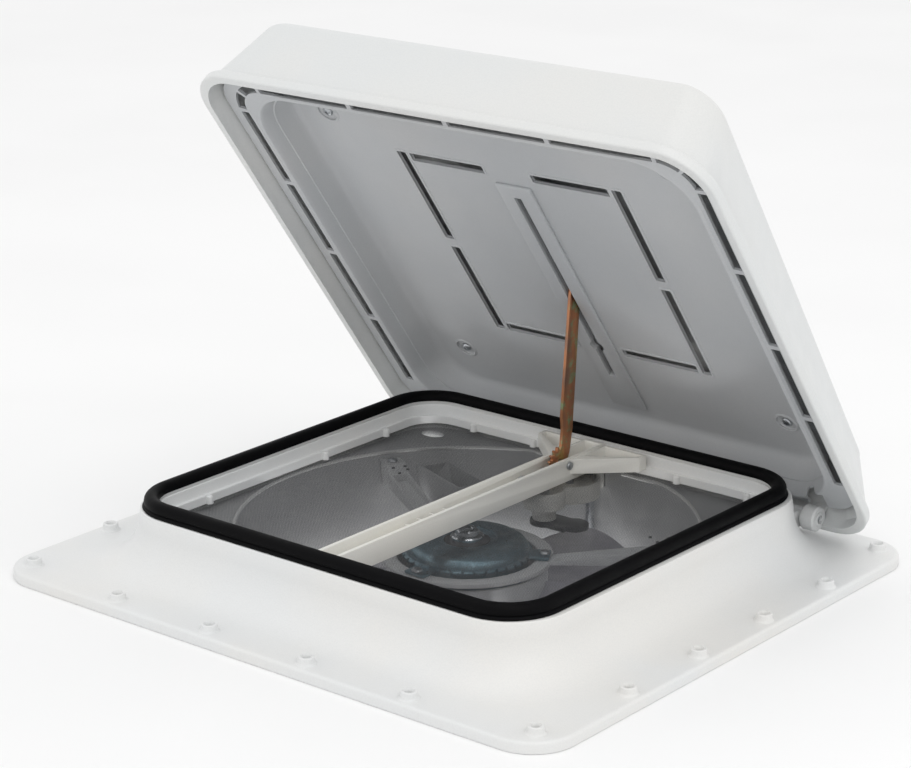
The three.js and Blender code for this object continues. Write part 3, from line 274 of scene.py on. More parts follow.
def zinc(name, colour, dark, roughness, scale=(1.0, 1.0, 1.0)):
    """Plated steel: spangled tone, drawn scratches along one axis and uneven polish."""
    shader = Shader(name)
    spangle = shader.noise(160.0, 3.0)
    scratch = shader.noise(500.0, 3.0, 0.6, scale)
    tone = shader.mix(spangle.ramp(0.3, 0.7), colour, dark)
    marked = shader.mix(scratch.ramp(0.45, 0.8) * 0.35, tone, scaled(dark, 0.6))
    polish = scratch.ramp(0.2, 0.8, -0.06, 0.1) + spangle.ramp(0.3, 0.7, -0.03, 0.05) + roughness
    return shader.set(Base_Color=marked, Roughness=polish, Metallic=1.0,
                      Normal=shader.bump(scratch, 0.4, 0.00003))


def sealing_rubber():
    """Extruded rubber: near black, with a dusty bloom on it and fine lines along its run."""
    shader = Shader("sealing_rubber")
    bloom = shader.noise(45.0, 4.0, 0.6)
    colour = shader.mix(bloom.ramp(0.45, 0.85) * 0.5, (0.0012, 0.0012, 0.0016),
                        (0.004, 0.004, 0.005))
    line = shader.noise(700.0, 2.0)
    return shader.set(Base_Color=colour, Roughness=bloom.ramp(0.3, 0.7, 0.5, 0.62),
                      Specular_IOR_Level=0.08,
                      Normal=shader.bump(line, 0.4, 0.00008))


def gold_chromate():
    """Yellow-passivated steel: gold that drifts to red, brown and green along the arm."""
    shader = Shader("gold_chromate")
    drift = shader.noise(38.0, 3.0, 0.6, (1.0, 1.0, 0.5))
    patch = shader.noise(110.0, 3.0, 0.6)
    gold = shader.mix(drift.ramp(0.35, 0.5), (0.62, 0.44, 0.17), (0.5, 0.22, 0.11))
    green = shader.mix(patch.ramp(0.5, 0.68), gold, (0.34, 0.40, 0.22))
    brown = shader.mix(drift.ramp(0.56, 0.7), green, (0.30, 0.17, 0.12))
    scratch = shader.noise(600.0, 3.0, 0.6, (1.0, 1.0, 0.12))
    return shader.set(Base_Color=brown, Metallic=0.85,
                      Roughness=patch.ramp(0.3, 0.7, 0.3, 0.48) + scratch.ramp(0.3, 0.7, 0.0, 0.08),
                      Normal=shader.bump(scratch, 0.35, 0.00004))


def smoked():
    """Smoke-tinted blade plastic: cloudy grey-violet with flow lines and a soft sheen."""
    shader = Shader("smoked_plastic")
    flow = shader.noise(22.0, 4.0, 0.6, (1.0, 1.0, 3.0))
    colour = shader.mix(flow.ramp(0.35, 0.7), (0.33, 0.32, 0.36), (0.47, 0.46, 0.5))
    return shader.set(Base_Color=colour, Roughness=flow.ramp(0.3, 0.7, 0.28, 0.4),
                      Normal=shader.bump(shader.noise(500.0, 2.0), 0.35, 0.00004),
                      Coat_Weight=0.25)


def screen_thread():
    """Coated thread of the insect screen, with a little dust on it."""
    shader = Shader("screen_thread")
    dust = shader.noise(90.0, 4.0, 0.6)
    colour = shader.mix(dust.ramp(0.45, 0.8), (0.10, 0.102, 0.106), (0.16, 0.16, 0.16))
    return shader.set(Base_Color=colour, Roughness=dust.ramp(0.3, 0.7, 0.5, 0.65),
                      Normal=shader.bump(dust, 0.3, 0.00002))


# white moulding of the white parts; also the painted highlight on the shroud's lip
WHITE = moulded("white_moulding_and_painted_highlight", (0.755, 0.765, 0.765), (0.775, 0.765, 0.74), 0.42)
DOME_WHITE = moulded("dome_white", (0.69, 0.705, 0.705), (0.715, 0.715, 0.70), 0.36)
BAR_WHITE = moulded("bar_white", (0.80, 0.79, 0.75), (0.82, 0.80, 0.74), 0.45)
LINER = moulded("liner_moulding", (0.49, 0.505, 0.52), (0.52, 0.525, 0.53), 0.5)
GREY = moulded("shroud_grey", (0.46, 0.465, 0.47), (0.5, 0.5, 0.5), 0.5)
PALE_GREY = moulded("hub_grey", (0.64, 0.65, 0.66), (0.68, 0.68, 0.68), 0.45)
# black moulding of the worm's end cap; also painted shade in the motor's well and on the bracket's
# pad holes
BLACK_AND_PAINTED_SHADE = moulded("black_moulding_and_painted_shade", (0.012, 0.012, 0.013), (0.02, 0.02, 0.02), 0.4)
GEAR_RESIN = moulded("gear_resin", (0.74, 0.71, 0.63), (0.78, 0.75, 0.67), 0.4)
RUBBER = sealing_rubber()
GOLD = gold_chromate()
SMOKE = smoked()
THREAD = screen_thread()
ZINC = zinc("zinc_plate", (0.62, 0.64, 0.66), (0.44, 0.46, 0.48), 0.3)
CHROME = zinc("bright_boss", (0.80, 0.82, 0.84), (0.60, 0.63, 0.66), 0.16)
MOTOR_BLUE = zinc("blue_zinc", (0.25, 0.36, 0.41), (0.17, 0.27, 0.32), 0.3, (1.0, 1.0, 6.0))


# ---------------------------------------------------------------- mesh helpers
def grid_faces(rows, columns, wrap_rows=False, wrap_columns=True):
    """Quads of a grid of rows x columns points, joined round where asked."""
    i = np.arange(rows if wrap_rows else rows - 1)[:, None]
    j = np.arange(columns if wrap_columns else columns - 1)[None, :]
    right = (j + 1) % columns
    up = (i + 1) % rows
    quads = np.stack(np.broadcast_arrays(i * columns + j, i * columns + right,
                                         up * columns + right, up * columns + j), -1)
    return quads.reshape(-1, 4).tolist()


def object_of(name, points, faces):
    """An object with a mesh of those points, in millimetres, with its faces turned outwards."""
    mesh = bpy.data.meshes.new(name)
    mesh.from_pydata((np.asarray(points).reshape(-1, 3) * MM).tolist(), [], faces)
    work = bmesh.new()
    work.from_mesh(mesh)
    bmesh.ops.remove_doubles(work, verts=work.verts, dist=1e-7)
    bmesh.ops.recalc_face_normals(work, faces=work.faces)
    work.to_mesh(mesh)
    work.free()
    made = bpy.data.objects.new(name, mesh)
    bpy.context.scene.collection.objects.link(made)
    return made


def settle(made):
    """Applies an object's modifiers to its mesh."""
    bpy.context.view_layer.update()
    graph = bpy.context.evaluated_depsgraph_get()
    result = bpy.data.meshes.new_from_object(made.evaluated_get(graph))
    made.modifiers.clear()
    made.data = result


def bevelled(made, width, angle=35, segments=2):
    """Rounds the sharp edges of an object; width in millimetres."""
    modifier = made.modifiers.new("round", "BEVEL")
    modifier.width = width * MM
    modifier.segments = segments
    modifier.limit_method = "ANGLE"
    modifier.angle_limit = math.radians(angle)
    modifier.use_clamp_overlap = True
    settle(made)


def minus(made, tool):
    """Cuts one object out of another and removes the tool."""
    modifier = made.modifiers.new("cut", "BOOLEAN")
    modifier.operation = "DIFFERENCE"
    modifier.solver = "EXACT"
    modifier.object = tool
    settle(made)
    bpy.data.objects.remove(tool)


def joined(name, *made):
    """Several objects' meshes in one object."""
    work = bmesh.new()
    for item in made:
        work.from_mesh(item.data)
        bpy.data.objects.remove(item)
    mesh = bpy.data.meshes.new(name)
    work.to_mesh(mesh)
    work.free()
    whole = bpy.data.objects.new(name, mesh)
    bpy.context.scene.collection.objects.link(whole)
    return whole


def finished(made, material, body, stands_for=(), angle=38):
    """Shades an object smooth up to an angle, gives it its material and puts it on its body."""
    made.data.materials.clear()
    made.data.materials.append(material)
    made.data.polygons.foreach_set("use_smooth", np.ones(len(made.data.polygons), bool))
    made.data.set_sharp_from_angle(angle=math.radians(angle))
    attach(made, body)
    if stands_for:
        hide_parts(*stands_for)
    return made


def refined(node, material, body="base", width=0.4, angle=30):
    """A node's own shape with its facets merged and its edges rounded."""
    work = bmesh.new()
    work.from_mesh(frame["nodes"][node].data)
    bmesh.ops.remove_doubles(work, verts=work.verts, dist=1e-6)
    bmesh.ops.dissolve_limit(work, angle_limit=math.radians(0.5), verts=work.verts,
                             edges=work.edges)
    mesh = bpy.data.meshes.new(node + "_fine")
    work.to_mesh(mesh)
    work.free()
    made = bpy.data.objects.new(node + "_fine", mesh)
    bpy.context.scene.collection.objects.link(made)
    if width:
        bevelled(made, width, angle)
    return finished(made, material, body, (node,))


# ---------------------------------------------------------------- shape helpers
def rectangle(half_x, front, rear, corner, z, steps=CORNER_STEPS):
    """Rounded rectangle at height z: four quarter circles, anticlockwise from the +X side."""
    quarter = np.arange(4)[:, None]
    angle = (quarter + np.linspace(0, 1, steps + 1)) * math.pi / 2
    side = np.where((quarter == 0) | (quarter == 3), 1, -1)
    centre_y = np.where(quarter < 2, rear - corner, front + corner)
    x = side * (half_x - corner) + corner * np.cos(angle)
    y = centre_y + corner * np.sin(angle)
    return np.stack([x, y, np.full_like(x, z)], -1).reshape(-1, 3)


def neck_at(inset, z):
    """Rounded rectangle that follows the neck's outer face, moved in by an inset."""
    return rectangle(NECK_X - inset, inset - NECK_Y, NECK_Y - inset, NECK_CORNER - inset, z)


def collar_at(out, z):
    """Rounded rectangle that follows the collar, moved out; tighter at the hinge side."""
    rear = COLLAR_REAR + out * (REAR_SWEEP if out > 0 else 1)
    return rectangle(COLLAR_X + out, COLLAR_FRONT - out, rear, COLLAR_CORNER + out, z)


def flange_at(inset, z):
    """Rounded rectangle that follows the flange's rim, moved in."""
    return rectangle(flange_high[0] - inset, flange_low[1] + inset, flange_high[1] - inset,
                     FLANGE_CORNER - inset, z)


def dome_at(inset, z):
    """Rounded rectangle that follows the lid's rim, moved in."""
    return rectangle(LID_X - inset, LID_FRONT + inset, LID_REAR - inset,
                     LID_CORNER - inset * 0.5, z)


def liner_at(out, z):
    """Rounded rectangle that follows the foot of the liner's tray wall, moved out."""
    return rectangle(LINER_X + out, LINER_FRONT - out, LINER_REAR + out,
                     max(LINER_CORNER + out * 0.6, 4), z)


def land_at(inset, z):
    """Edge of the liner's land: it follows the dome, with a nearer edge at the hinge."""
    return rectangle(LID_X - inset, LID_FRONT + inset, LINER_REAR + LINER_SLOPE + 6.5,
                     LID_CORNER - inset * 0.5, z)


def arc(low, high, steps):
    """Angles from low to high degrees, in radians."""
    return np.radians(np.linspace(low, high, steps + 1))


def ring(name, loops):
    """A closed band: loops of equal length, with the last joined to the first."""
    points = np.stack(loops)
    return object_of(name, points, grid_faces(*points.shape[:2], wrap_rows=True))


def shell(name, loops):
    """A solid skinned over loops of equal length, closed by a face at each end."""
    points = np.stack(loops)
    rows, columns = points.shape[:2]
    faces = grid_faces(rows, columns)
    last = (rows - 1) * columns
    faces += [list(range(columns)), list(range(last, last + columns))]
    return object_of(name, points, faces)


def banded(name, outer, inner):
    """A walled pan: two sets of loops, joined at their first and closed by a face at their last."""
    points = np.stack(outer + inner[::-1])
    rows, columns = points.shape[:2]
    seam = len(outer) - 1
    faces = grid_faces(rows, columns, wrap_rows=True)
    faces = [face for k, face in enumerate(faces) if k // columns != seam]
    faces += [list(range(k * columns, (k + 1) * columns)) for k in (seam, seam + 1)]
    return object_of(name, points, faces)


def lathe(name, profile, segments=48, centre=(0, 0)):
    """A profile of (radius, height) turned about the upright line through centre."""
    profile = np.asarray(profile, float)
    angle = np.arange(segments) / segments * TURN
    x = centre[0] + profile[:, :1] * np.cos(angle)
    y = centre[1] + profile[:, :1] * np.sin(angle)
    z = np.broadcast_to(profile[:, 1:], x.shape)
    points = np.stack([x, y, z], -1)
    return object_of(name, points, grid_faces(len(profile), segments, wrap_rows=True))


def slab(low, high):
    """A block between two corners."""
    low, high = np.array(low, float), np.array(high, float)
    corner = np.array([(0, 0), (1, 0), (1, 1), (0, 1)])
    loop = low[:2] + corner * (high - low)[:2]
    return shell("slab", [np.column_stack([loop, np.full(4, z)]) for z in (low[2], high[2])])


def along_x(made, y, z):
    """Turns an object that stands upright at the origin so that its axis runs along X."""
    made.data.transform(Matrix.Translation((0, y * MM, z * MM))
                        @ Matrix.Rotation(math.pi / 2, 4, "Y"))
    return made


def swung(made):
    """Swings a closed-lid piece open about the hinge line."""
    pivot = Matrix.Translation(Vector(HINGE * MM))
    made.data.transform(pivot @ Matrix.Rotation(-OPEN, 4, "X") @ pivot.inverted())
    return made


def copies(made, places):
    """One object's mesh repeated at a list of (x, y) places, as whole arrays."""
    count = len(made.data.vertices)
    at = np.zeros(count * 3)
    made.data.vertices.foreach_get("co", at)
    shift = np.column_stack([np.array(places, float), np.zeros(len(places))])
    points = at.reshape(1, count, 3) / MM + shift[:, None, :]
    faces = [list(polygon.vertices) for polygon in made.data.polygons]
    whole = [[v + k * count for v in face] for k in range(len(places)) for face in faces]
    name = made.name
    bpy.data.objects.remove(made)
    return object_of(name + "_set", points, whole)


# ---------------------------------------------------------------- base
def boss_places():
    """Centres of the flange's raised screw bosses, and of the flush holes between the corners of
    the hinge side."""
    middle = (flange_low[1] + flange_high[1]) / 2
    half_x, half_y = flange_high[0], (flange_high[1] - flange_low[1]) / 2
    corner_x, corner_y = half_x - BOSS_CORNER_IN, half_y - BOSS_CORNER_IN
    raised = [(sx * corner_x, middle + sy * corner_y) for sx in (-1, 1) for sy in (-1, 1)]
    flush = []
    for share in BOSS_SHARES:
        raised.append((share * corner_x, middle - half_y + BOSS_SIDE_IN))
        flush.append((share * corner_x, middle + half_y - BOSS_SIDE_IN))
        raised += [(side * (half_x - BOSS_SIDE_IN), middle + share * corner_y)
                   for side in (-1, 1)]
    return raised, flush


def base_frame():
    """Flange, swept collar and neck. The sweep is a quarter circle from the flange's top up to
    the collar's face; the collar's top rounds over to a land and the upstand for the seal."""
    round_over = [flange_at(FLANGE_ROUND * (1 - math.cos(a)),
                            FLANGE_TOP - FLANGE_ROUND * (1 - math.sin(a))) for a in arc(0, 90, 4)]
    sweep = [collar_at(FILLET + 2 - FILLET * math.sin(a), FLANGE_TOP + FILLET * (1 - math.cos(a)))
             for a in arc(0, 90, 18)]
    under = [collar_at(FILLET + 2 - (FILLET + COLLAR_WALL) * math.sin(a),
                       FLANGE_TOP + FILLET - (FILLET + COLLAR_WALL) * math.cos(a))
             for a in arc(90, 0, 10)]
    crown = [collar_at(-0.6 + 1.2 * math.cos(a), COLLAR_TOP - 1.2 * (1 - math.sin(a)))
             for a in arc(0, 90, 4)]
    loops = [flange_at(0, 0), flange_at(0, 2), *round_over, flange_at(6, FLANGE_TOP), *sweep,
             *crown,
             neck_at(0, COLLAR_TOP), neck_at(0, COLLAR_TOP + UPSTAND),
             neck_at(NECK_WALL, COLLAR_TOP + UPSTAND), neck_at(NECK_WALL, NECK_BOTTOM),
             neck_at(0, NECK_BOTTOM), neck_at(0, COLLAR_TOP - COLLAR_WALL),
             collar_at(-COLLAR_WALL + 0.6, COLLAR_TOP - COLLAR_WALL), *under,
             flange_at(COLLAR_WALL, FLANGE_TOP - FLANGE_PLATE), flange_at(COLLAR_WALL, 0)]
    body = ring("base_shell", loops)
    raised, flush = boss_places()
    rim = BOSS_HOLE * np.column_stack([np.cos(arc(0, 345, 23)), np.sin(arc(0, 345, 23))])
    drill = shell("drill", [np.column_stack([rim, np.full(24, z)]) for z in (-2, 20)])
    minus(body, copies(drill, raised + flush))
    finished(body, WHITE, "base", ("base_frame",), 32)
    low = FLANGE_TOP - 0.2
    top = FLANGE_TOP + BOSS_HEIGHT
    tube = lathe("screw_boss", [(2.6, FLANGE_TOP - 2.5), (2.6, top - 2.2), (3.4, top - 0.9),
                                (4.0, top), (5.2, top), (5.7, top - 0.5), (5.95, low + 1.6),
                                (6.6, low + 0.6), (7.8, low), (7.8, low - 0.6),
                                (4.2, FLANGE_TOP - 2.5)], 28)
    finished(copies(tube, raised), WHITE, "base")
    hinge_brackets()
    corner_ribs()


def hinge_span(side, span):
    """Two places along X at distances in from the collar's side, in rising order."""
    return sorted(side * (COLLAR_X - inward) for inward in span)


def rod_x(name, x0, x1, y, z, radius, bore=0.0, segments=36, edge=0.6):
    """A round bar or bush along X with eased edges."""
    inner = max(bore, AXIS)
    made = lathe(name, [(inner, x0), (radius - edge, x0), (radius, x0 + edge),
                        (radius, x1 - edge), (radius - edge, x1), (inner, x1)], segments)
    return along_x(made, y, z)


def hinge_brackets():
    """Hinge boss on each side of the collar's rear face: a bored barrel on a web, and its pin."""
    for side, word in ((-1, "left"), (1, "right")):
        x0, x1 = hinge_span(side, BRACKET_IN)
        barrel = rod_x("barrel", x0, x1, HINGE[1], HINGE[2], BRACKET_R, PIN_R + PIN_FIT)
        web = slab((x0 + 0.5, COLLAR_REAR - 4, FLANGE_TOP + 6),
                   (x1 - 0.5, HINGE[1], HINGE[2] + 5.6))
        bevelled(web, 0.8)
        minus(web, rod_x("bore", x0 - 3, x1 + 3, HINGE[1], HINGE[2], PIN_R + PIN_FIT, edge=0.1))
        bracket = joined("hinge_bracket_" + word, barrel, web)
        finished(bracket, WHITE, "base")
        pin = rod_x("hinge_pin_fine_" + word, *hinge_span(side, PIN_IN), HINGE[1], HINGE[2],
                    PIN_R, edge=0.5)
        finished(pin, ZINC, "base", ("hinge_pin_" + word,))


def corner_ribs():
    """Short ribbed grips under the flange's front corners, between the rim and the neck."""
    for side, word in ((-1, "left"), (1, "right")):
        ribs = []
        for i in range(5):
            x = side * (196 + i * 6)
            ribs.append(slab((x - 0.9, flange_low[1] + 4, 0.4), (x + 0.9, flange_low[1] + 22, 5.4)))
        finished(joined("corner_ribs_" + word, *ribs), WHITE, "base")


def weather_seal():
    """Bulb seal: a round bulb that runs into a drooping outer lip and a clip round the upstand."""
    centre = seal_high[2] - BULB_R
    bulb = [(1.5 + BULB_R * math.cos(a), centre + BULB_R * math.sin(a))
            for a in arc(-28, 196, 22)]
    floor = COLLAR_TOP + GAP
    lip = COLLAR_TOP + UPSTAND + GAP
    section = [(7.9, floor), (8.4, floor + 0.7), (8.0, floor + 1.6), (6.6, floor + 2.4), *bulb,
               (-3.1, floor + 3.6), (-2.6, lip), (0.35, lip), (0.35, floor)]
    seal = ring("seal", [neck_at(-out, z) for out, z in section])
    finished(seal, RUBBER, "base", ("weather_seal",), 50)


def screen_frame():
    """Stepped inner frame: outer wall, sloped step and a lower ledge, with heat-staked pegs."""
    outside = NECK_WALL + GAP
    bottom, top, step = rim_low[2], rim_high[2], 43.0
    section = [(outside, bottom), (outside, top - 0.5), (outside + 0.5, top), (outside + 1.9, top),
               (outside + 2.4, top - 0.5), (outside + 2.7, top - 3), (outside + 3.2, step + 1.2),
               (outside + 3.7, step), (outside + 5.2, step), (outside + 5.7, step - 0.6),
               (outside + 5.7, bottom + 0.4), (outside + 5.3, bottom)]
    rim = ring("screen_rim", [neck_at(inset, z) for inset, z in section])
    finished(rim, WHITE, "base", ("screen_frame",), 30)
    x, y = NECK_X - 8.9, NECK_Y - 8.9
    places = [(side * x, share * y) for side in (-1, 1) for share in (-0.62, 0.2, 0.66)]
    places += [(share * x, side * y) for side in (-1, 1) for share in (-0.72, -0.36, 0.46, 0.84)]
    peg = lathe("peg", [(AXIS, bottom + 6.2), (1.8, bottom + 6.1), (2.5, bottom + 5.6),
                        (2.7, bottom + 5), (2.95, bottom), (AXIS, bottom)], 20)
    finished(copies(peg, places), WHITE, "base")


THREAD_PITCH = 1.5
THREAD_R = 0.085


def threads(start, end, cross, height, lengthwise):
    """Square-section threads from start to end at each cross place, along X or along Y."""
    corner = np.array([(-1, -1), (1, -1), (1, 1), (-1, 1)]) * THREAD_R
    run = np.stack([start, end], 1)[:, :, None]
    side = cross[:, None, None] + corner[None, None, :, 0]
    run, side = np.broadcast_arrays(run, side)
    z = np.broadcast_to(height + corner[None, None, :, 1], side.shape)
    order = (run, side, z) if lengthwise else (side, run, z)
    points = np.stack(order, -1).reshape(-1, 3)
    box_faces = [(0, 1, 5, 4), (1, 2, 6, 5), (2, 3, 7, 6), (3, 0, 4, 7), (3, 2, 1, 0), (4, 5, 6, 7)]
    faces = (np.array(box_faces)[None] + 8 * np.arange(len(cross))[:, None, None]).reshape(-1, 4)
    return points, faces.tolist()


def half_reach(cross, half_along, half_cross, corner):
    """How far a thread reaches inside a rounded rectangle at each cross place."""
    into = np.clip(np.abs(cross) - (half_cross - corner), 0, corner)
    return half_along - corner + np.sqrt(corner ** 2 - into ** 2)


def insect_screen():
    """Woven insect screen: straight threads both ways in two layers, open round the drive."""
    half_x, half_y = screen_high[0], screen_high[1]
    corner = NECK_CORNER - NECK_WALL - GAP - 2
    hole_low, hole_high, hole_half = 82.0, 127.0, 9.0
    z = (screen_low[2] + screen_high[2]) / 2
    sets = []
    rows = np.arange(-half_y + 1, half_y - 0.5, THREAD_PITCH)
    reach = half_reach(rows, half_x, half_y, corner)
    cut = (rows > hole_low) & (rows < hole_high)
    inner = np.where(cut, hole_half, 0.0)
    sets.append((*threads(-reach, -inner, rows, z - THREAD_R, True),))
    sets.append((*threads(inner, reach, rows, z - THREAD_R, True),))
    columns = np.arange(-half_x + 1, half_x - 0.5, THREAD_PITCH)
    reach = half_reach(columns, half_y, half_x, corner)
    cut = np.abs(columns) < hole_half
    sets.append((*threads(-reach, np.where(cut, hole_low, 0.0), columns, z + THREAD_R, False),))
    sets.append((*threads(np.where(cut, hole_high, 0.0), reach, columns, z + THREAD_R, False),))
    points, faces, shift = [], [], 0
    for some_points, some_faces in sets:
        points.append(some_points)
        faces += [[v + shift for v in face] for face in some_faces]
        shift += len(some_points)
    mesh = bpy.data.meshes.new("screen_weave")
    mesh.from_pydata((np.concatenate(points) * MM).tolist(), [], faces)
    weave = bpy.data.objects.new("screen_weave", mesh)
    bpy.context.scene.collection.objects.link(weave)
    finished(weave, THREAD, "base", ("insect_screen",), 30)


# ---------------------------------------------------------------- drive and fan
def shroud_loop(radius, flat, z, steps=120):
    """A circle of the shroud's mouth cut off by two flats along X."""
    angle = np.arange(steps) / steps * TURN
    limit = flat / np.maximum(np.abs(np.sin(angle)), 1e-6)
    reach = np.minimum(radius, limit)
    return np.stack([reach * np.cos(angle), reach * np.sin(angle), np.full(steps, z)], -1)


def shroud_lip_painted_highlight():
    """Rolled bead on the edge of the shroud's mouth, white against the grey shroud as painted
    highlight.
    """
    top = shroud_high[2]
    throat = min(NECK_X, NECK_Y) - NECK_WALL - 6.5
    mouth = throat + 14
    flat = NECK_Y - NECK_WALL - 4.5
    section = [(mouth - 0.6 + 1.3 * math.cos(a), top + 0.6 + 1.3 * math.sin(a))
               for a in arc(0, 330, 11)]
    loops = [shroud_loop(radius, flat + radius - mouth, z) for radius, z in section]
    lip = ring("shroud_lip_painted_highlight", loops)
    notch = slab((-25, 60, top - 4), (25, 200, top + 6))
    minus(lip, notch)
    # white on the grey shroud: painted highlight along the lip; its rounding is real
    finished(lip, WHITE, "base", (), 60)


def pad_hole_painted_shade():
    """Painted shade: black discs on the motor bracket's pads for its screw and drain holes."""
    dots = []
    for degrees in (150, 270, 30):
        turn = math.radians(degrees)
        reach = 143 if degrees != 270 else 141
        for dx, dy in ((-4, -4.5), (3.5, -5), (-10, 4.5), (3, 4.8)):
            x, y = reach + dx, dy
            place = (x * math.cos(turn) - y * math.sin(turn),
                     x * math.sin(turn) + y * math.cos(turn))
            dots.append(lathe("dot", [(AXIS, 26.4), (1.25, 26.4), (1.25, 27.15), (0.8, 27.25),
                                      (AXIS, 27.25)], 16, place))
    # black discs, not holes: painted shade for the holes' dark insides
    finished(joined("pad_holes_painted_shade", *dots), BLACK_AND_PAINTED_SHADE, "base")


def phillips(name, place, top, radius=4.2, upside_down=False):
    """Pan-head screw: domed head with a cross cut into it and a plain shank."""
    sign = -1 if upside_down else 1
    head = [(AXIS, 2.2), (radius * 0.45, 2.1), (radius * 0.75, 1.7), (radius * 0.95, 0.9),
            (radius, 0.1), (radius * 0.97, 0), (1.7, 0), (1.7, -6.5), (AXIS, -7.5)]
    made = lathe(name, [(r, z) for r, z in head], 28)
    for size in ((2.3, 0.42), (0.42, 2.3)):
        minus(made, slab((-size[0], -size[1], 1.1), (size[0], size[1], 3)))
    made.data.transform(Matrix.Translation((place[0] * MM, place[1] * MM, top * MM))
                        @ Matrix.Rotation(math.pi if sign < 0 else 0, 4, "X"))
    return made


def motor():
    """Drawn motor can: notched rolled flange, domed top, painted shade in its well, bright stepped
    boss.
    """
    top, low = motor_high[2] - 7, motor_low[2]
    seam = 10.0
    can = lathe("can", [(AXIS, low), (42, low), (44.2, low + 0.8), (45, low + 2.6),
                        (45, seam - 1.7), (47.4, seam - 1.5), (48, seam - 0.9), (48, seam + 0.9),
                        (47.4, seam + 1.5), (45.4, seam + 2.2), (44.6, top - 6), (43, top - 3.6),
                        (40.5, top - 2.2), (36, top - 1.2), (28, top - 0.4), (22.6, top),
                        (21.8, top - 0.4), (21.4, top - 1.6), (17.4, top - 1.9), (17, top - 2.6),
                        (AXIS, top - 2.6)], 96)
    notch = [slab((46.4, -1.1, seam - 3), (49, 1.1, seam + 3)) for _ in range(36)]
    for i, item in enumerate(notch):
        item.data.transform(Matrix.Rotation((i + 0.5) / 36 * TURN, 4, "Z"))
    minus(can, joined("notches", *notch))
    ears = []
    for degrees in (150, 270, 30):
        ear = slab((38, -9, seam - 1.5), (61, 9, seam + 1.5))
        bevelled(ear, 2.5)
        ear.data.transform(Matrix.Rotation(math.radians(degrees), 4, "Z"))
        ears.append(ear)
    whole = joined("motor_shell", can, *ears)
    finished(whole, MOTOR_BLUE, "base", ("motor_can",), 30)
    # black disc round the boss: painted shade in the can's recess
    well = lathe("motor_well_painted_shade", [(AXIS, top - 2.7), (17.1, top - 2.7), (17.1, top - 2.2),
                                (13, top - 2.1), (AXIS, top - 2.1)], 64)
    finished(well, BLACK_AND_PAINTED_SHADE, "base")
    boss = lathe("motor_boss", [(AXIS, top - 2.5), (12.4, top - 2.5), (12.4, top + 1.2),
                                (11.6, top + 2.2), (9.2, top + 2.6), (8.6, top + 3),
                                (8.2, top + 5.4), (7.4, top + 6.3), (4.4, top + 6.5),
                                (3.8, top + 5.8), (AXIS, top + 5.6)], 64)
    finished(boss, CHROME, "base", (), 25)


def rotor():
    """Hub bowl and six broad blades. A blade is a sheet over (u, v): its radius runs from the hub
    to the tip with u, its angle round the span with v, and its height drops with v and cups."""
    top, low = rotor_high[2], -33.0
    radius, wall = 59.0, 2.5
    hub = lathe("hub", [(4.1, low), (53, low), (56.5, low + 1.4), (58.4, low + 3.6),
                        (59, low + 6.4),
                        (59, top - 0.7), (58.4, top), (57.1, top), (radius - wall, top - 0.7),
                        (radius - wall, low + 7), (55.4, low + 4.6), (53.4, low + 3.2),
                        (52, low + wall), (11.4, low + wall), (9.4, low + 4), (9, low + 12),
                        (4.1, low + 12)], 96)
    finished(hub, PALE_GREY, "fan", ("fan_rotor",), 30)
    rows, columns = 17, 29
    u = np.linspace(0, 1, rows)[:, None]
    v = np.linspace(0, 1, columns)[None, :]
    tip = (rotor_high[0] + rotor_high[1]) / 2 + 0.2
    root = radius - wall * 0.55
    rounding = 1 - 0.10 * (2 * v - 1) ** 8
    reach = root + (tip - root) * u * rounding
    span = np.radians(52 * (0.5 - v) + 10 * np.sin(math.pi * u) * (0.5 - v))
    height = -9 - 30 * v * (0.55 + 0.45 * u) - 3 * np.sin(math.pi * v) * (1 - 0.4 * u)
    blades = []
    for i in range(6):
        turn = span + i * TURN / 6
        sheet = np.stack([reach * np.cos(turn), reach * np.sin(turn), height + 0 * turn], -1)
        blade = object_of("blade", sheet, grid_faces(rows, columns, wrap_columns=False))
        thickness = blade.modifiers.new("wall", "SOLIDIFY")
        thickness.thickness = 2.0 * MM
        thickness.offset = 0
        settle(blade)
        blades.append(blade)
    whole = joined("blades", *blades)
    bevelled(whole, 0.5, 60)
    finished(whole, SMOKE, "fan", (), 45)


def worm_thread():
    """Thread of the worm: a triangular ridge wound round the shaft."""
    axis = joint_at("worm_turn")
    low, high = 39.6, 46.6
    turns, steps = 3, 90
    t = np.linspace(0, 1, steps)
    angle = t * turns * TURN
    z = low + (high - low) * t
    section = [(3.9, -0.9), (4.45, -0.2), (4.45, 0.2), (3.9, 0.9)]
    loops = [np.stack([axis[0] + r * np.cos(angle), axis[1] + r * np.sin(angle), z + dz], -1)
             for r, dz in section]
    points = np.stack(loops, 1)
    faces = grid_faces(steps, 4)
    faces += [[0, 1, 2, 3], [steps * 4 - 4 + k for k in range(4)]]
    finished(object_of("worm_thread", points, faces), ZINC, "worm", (), 30)


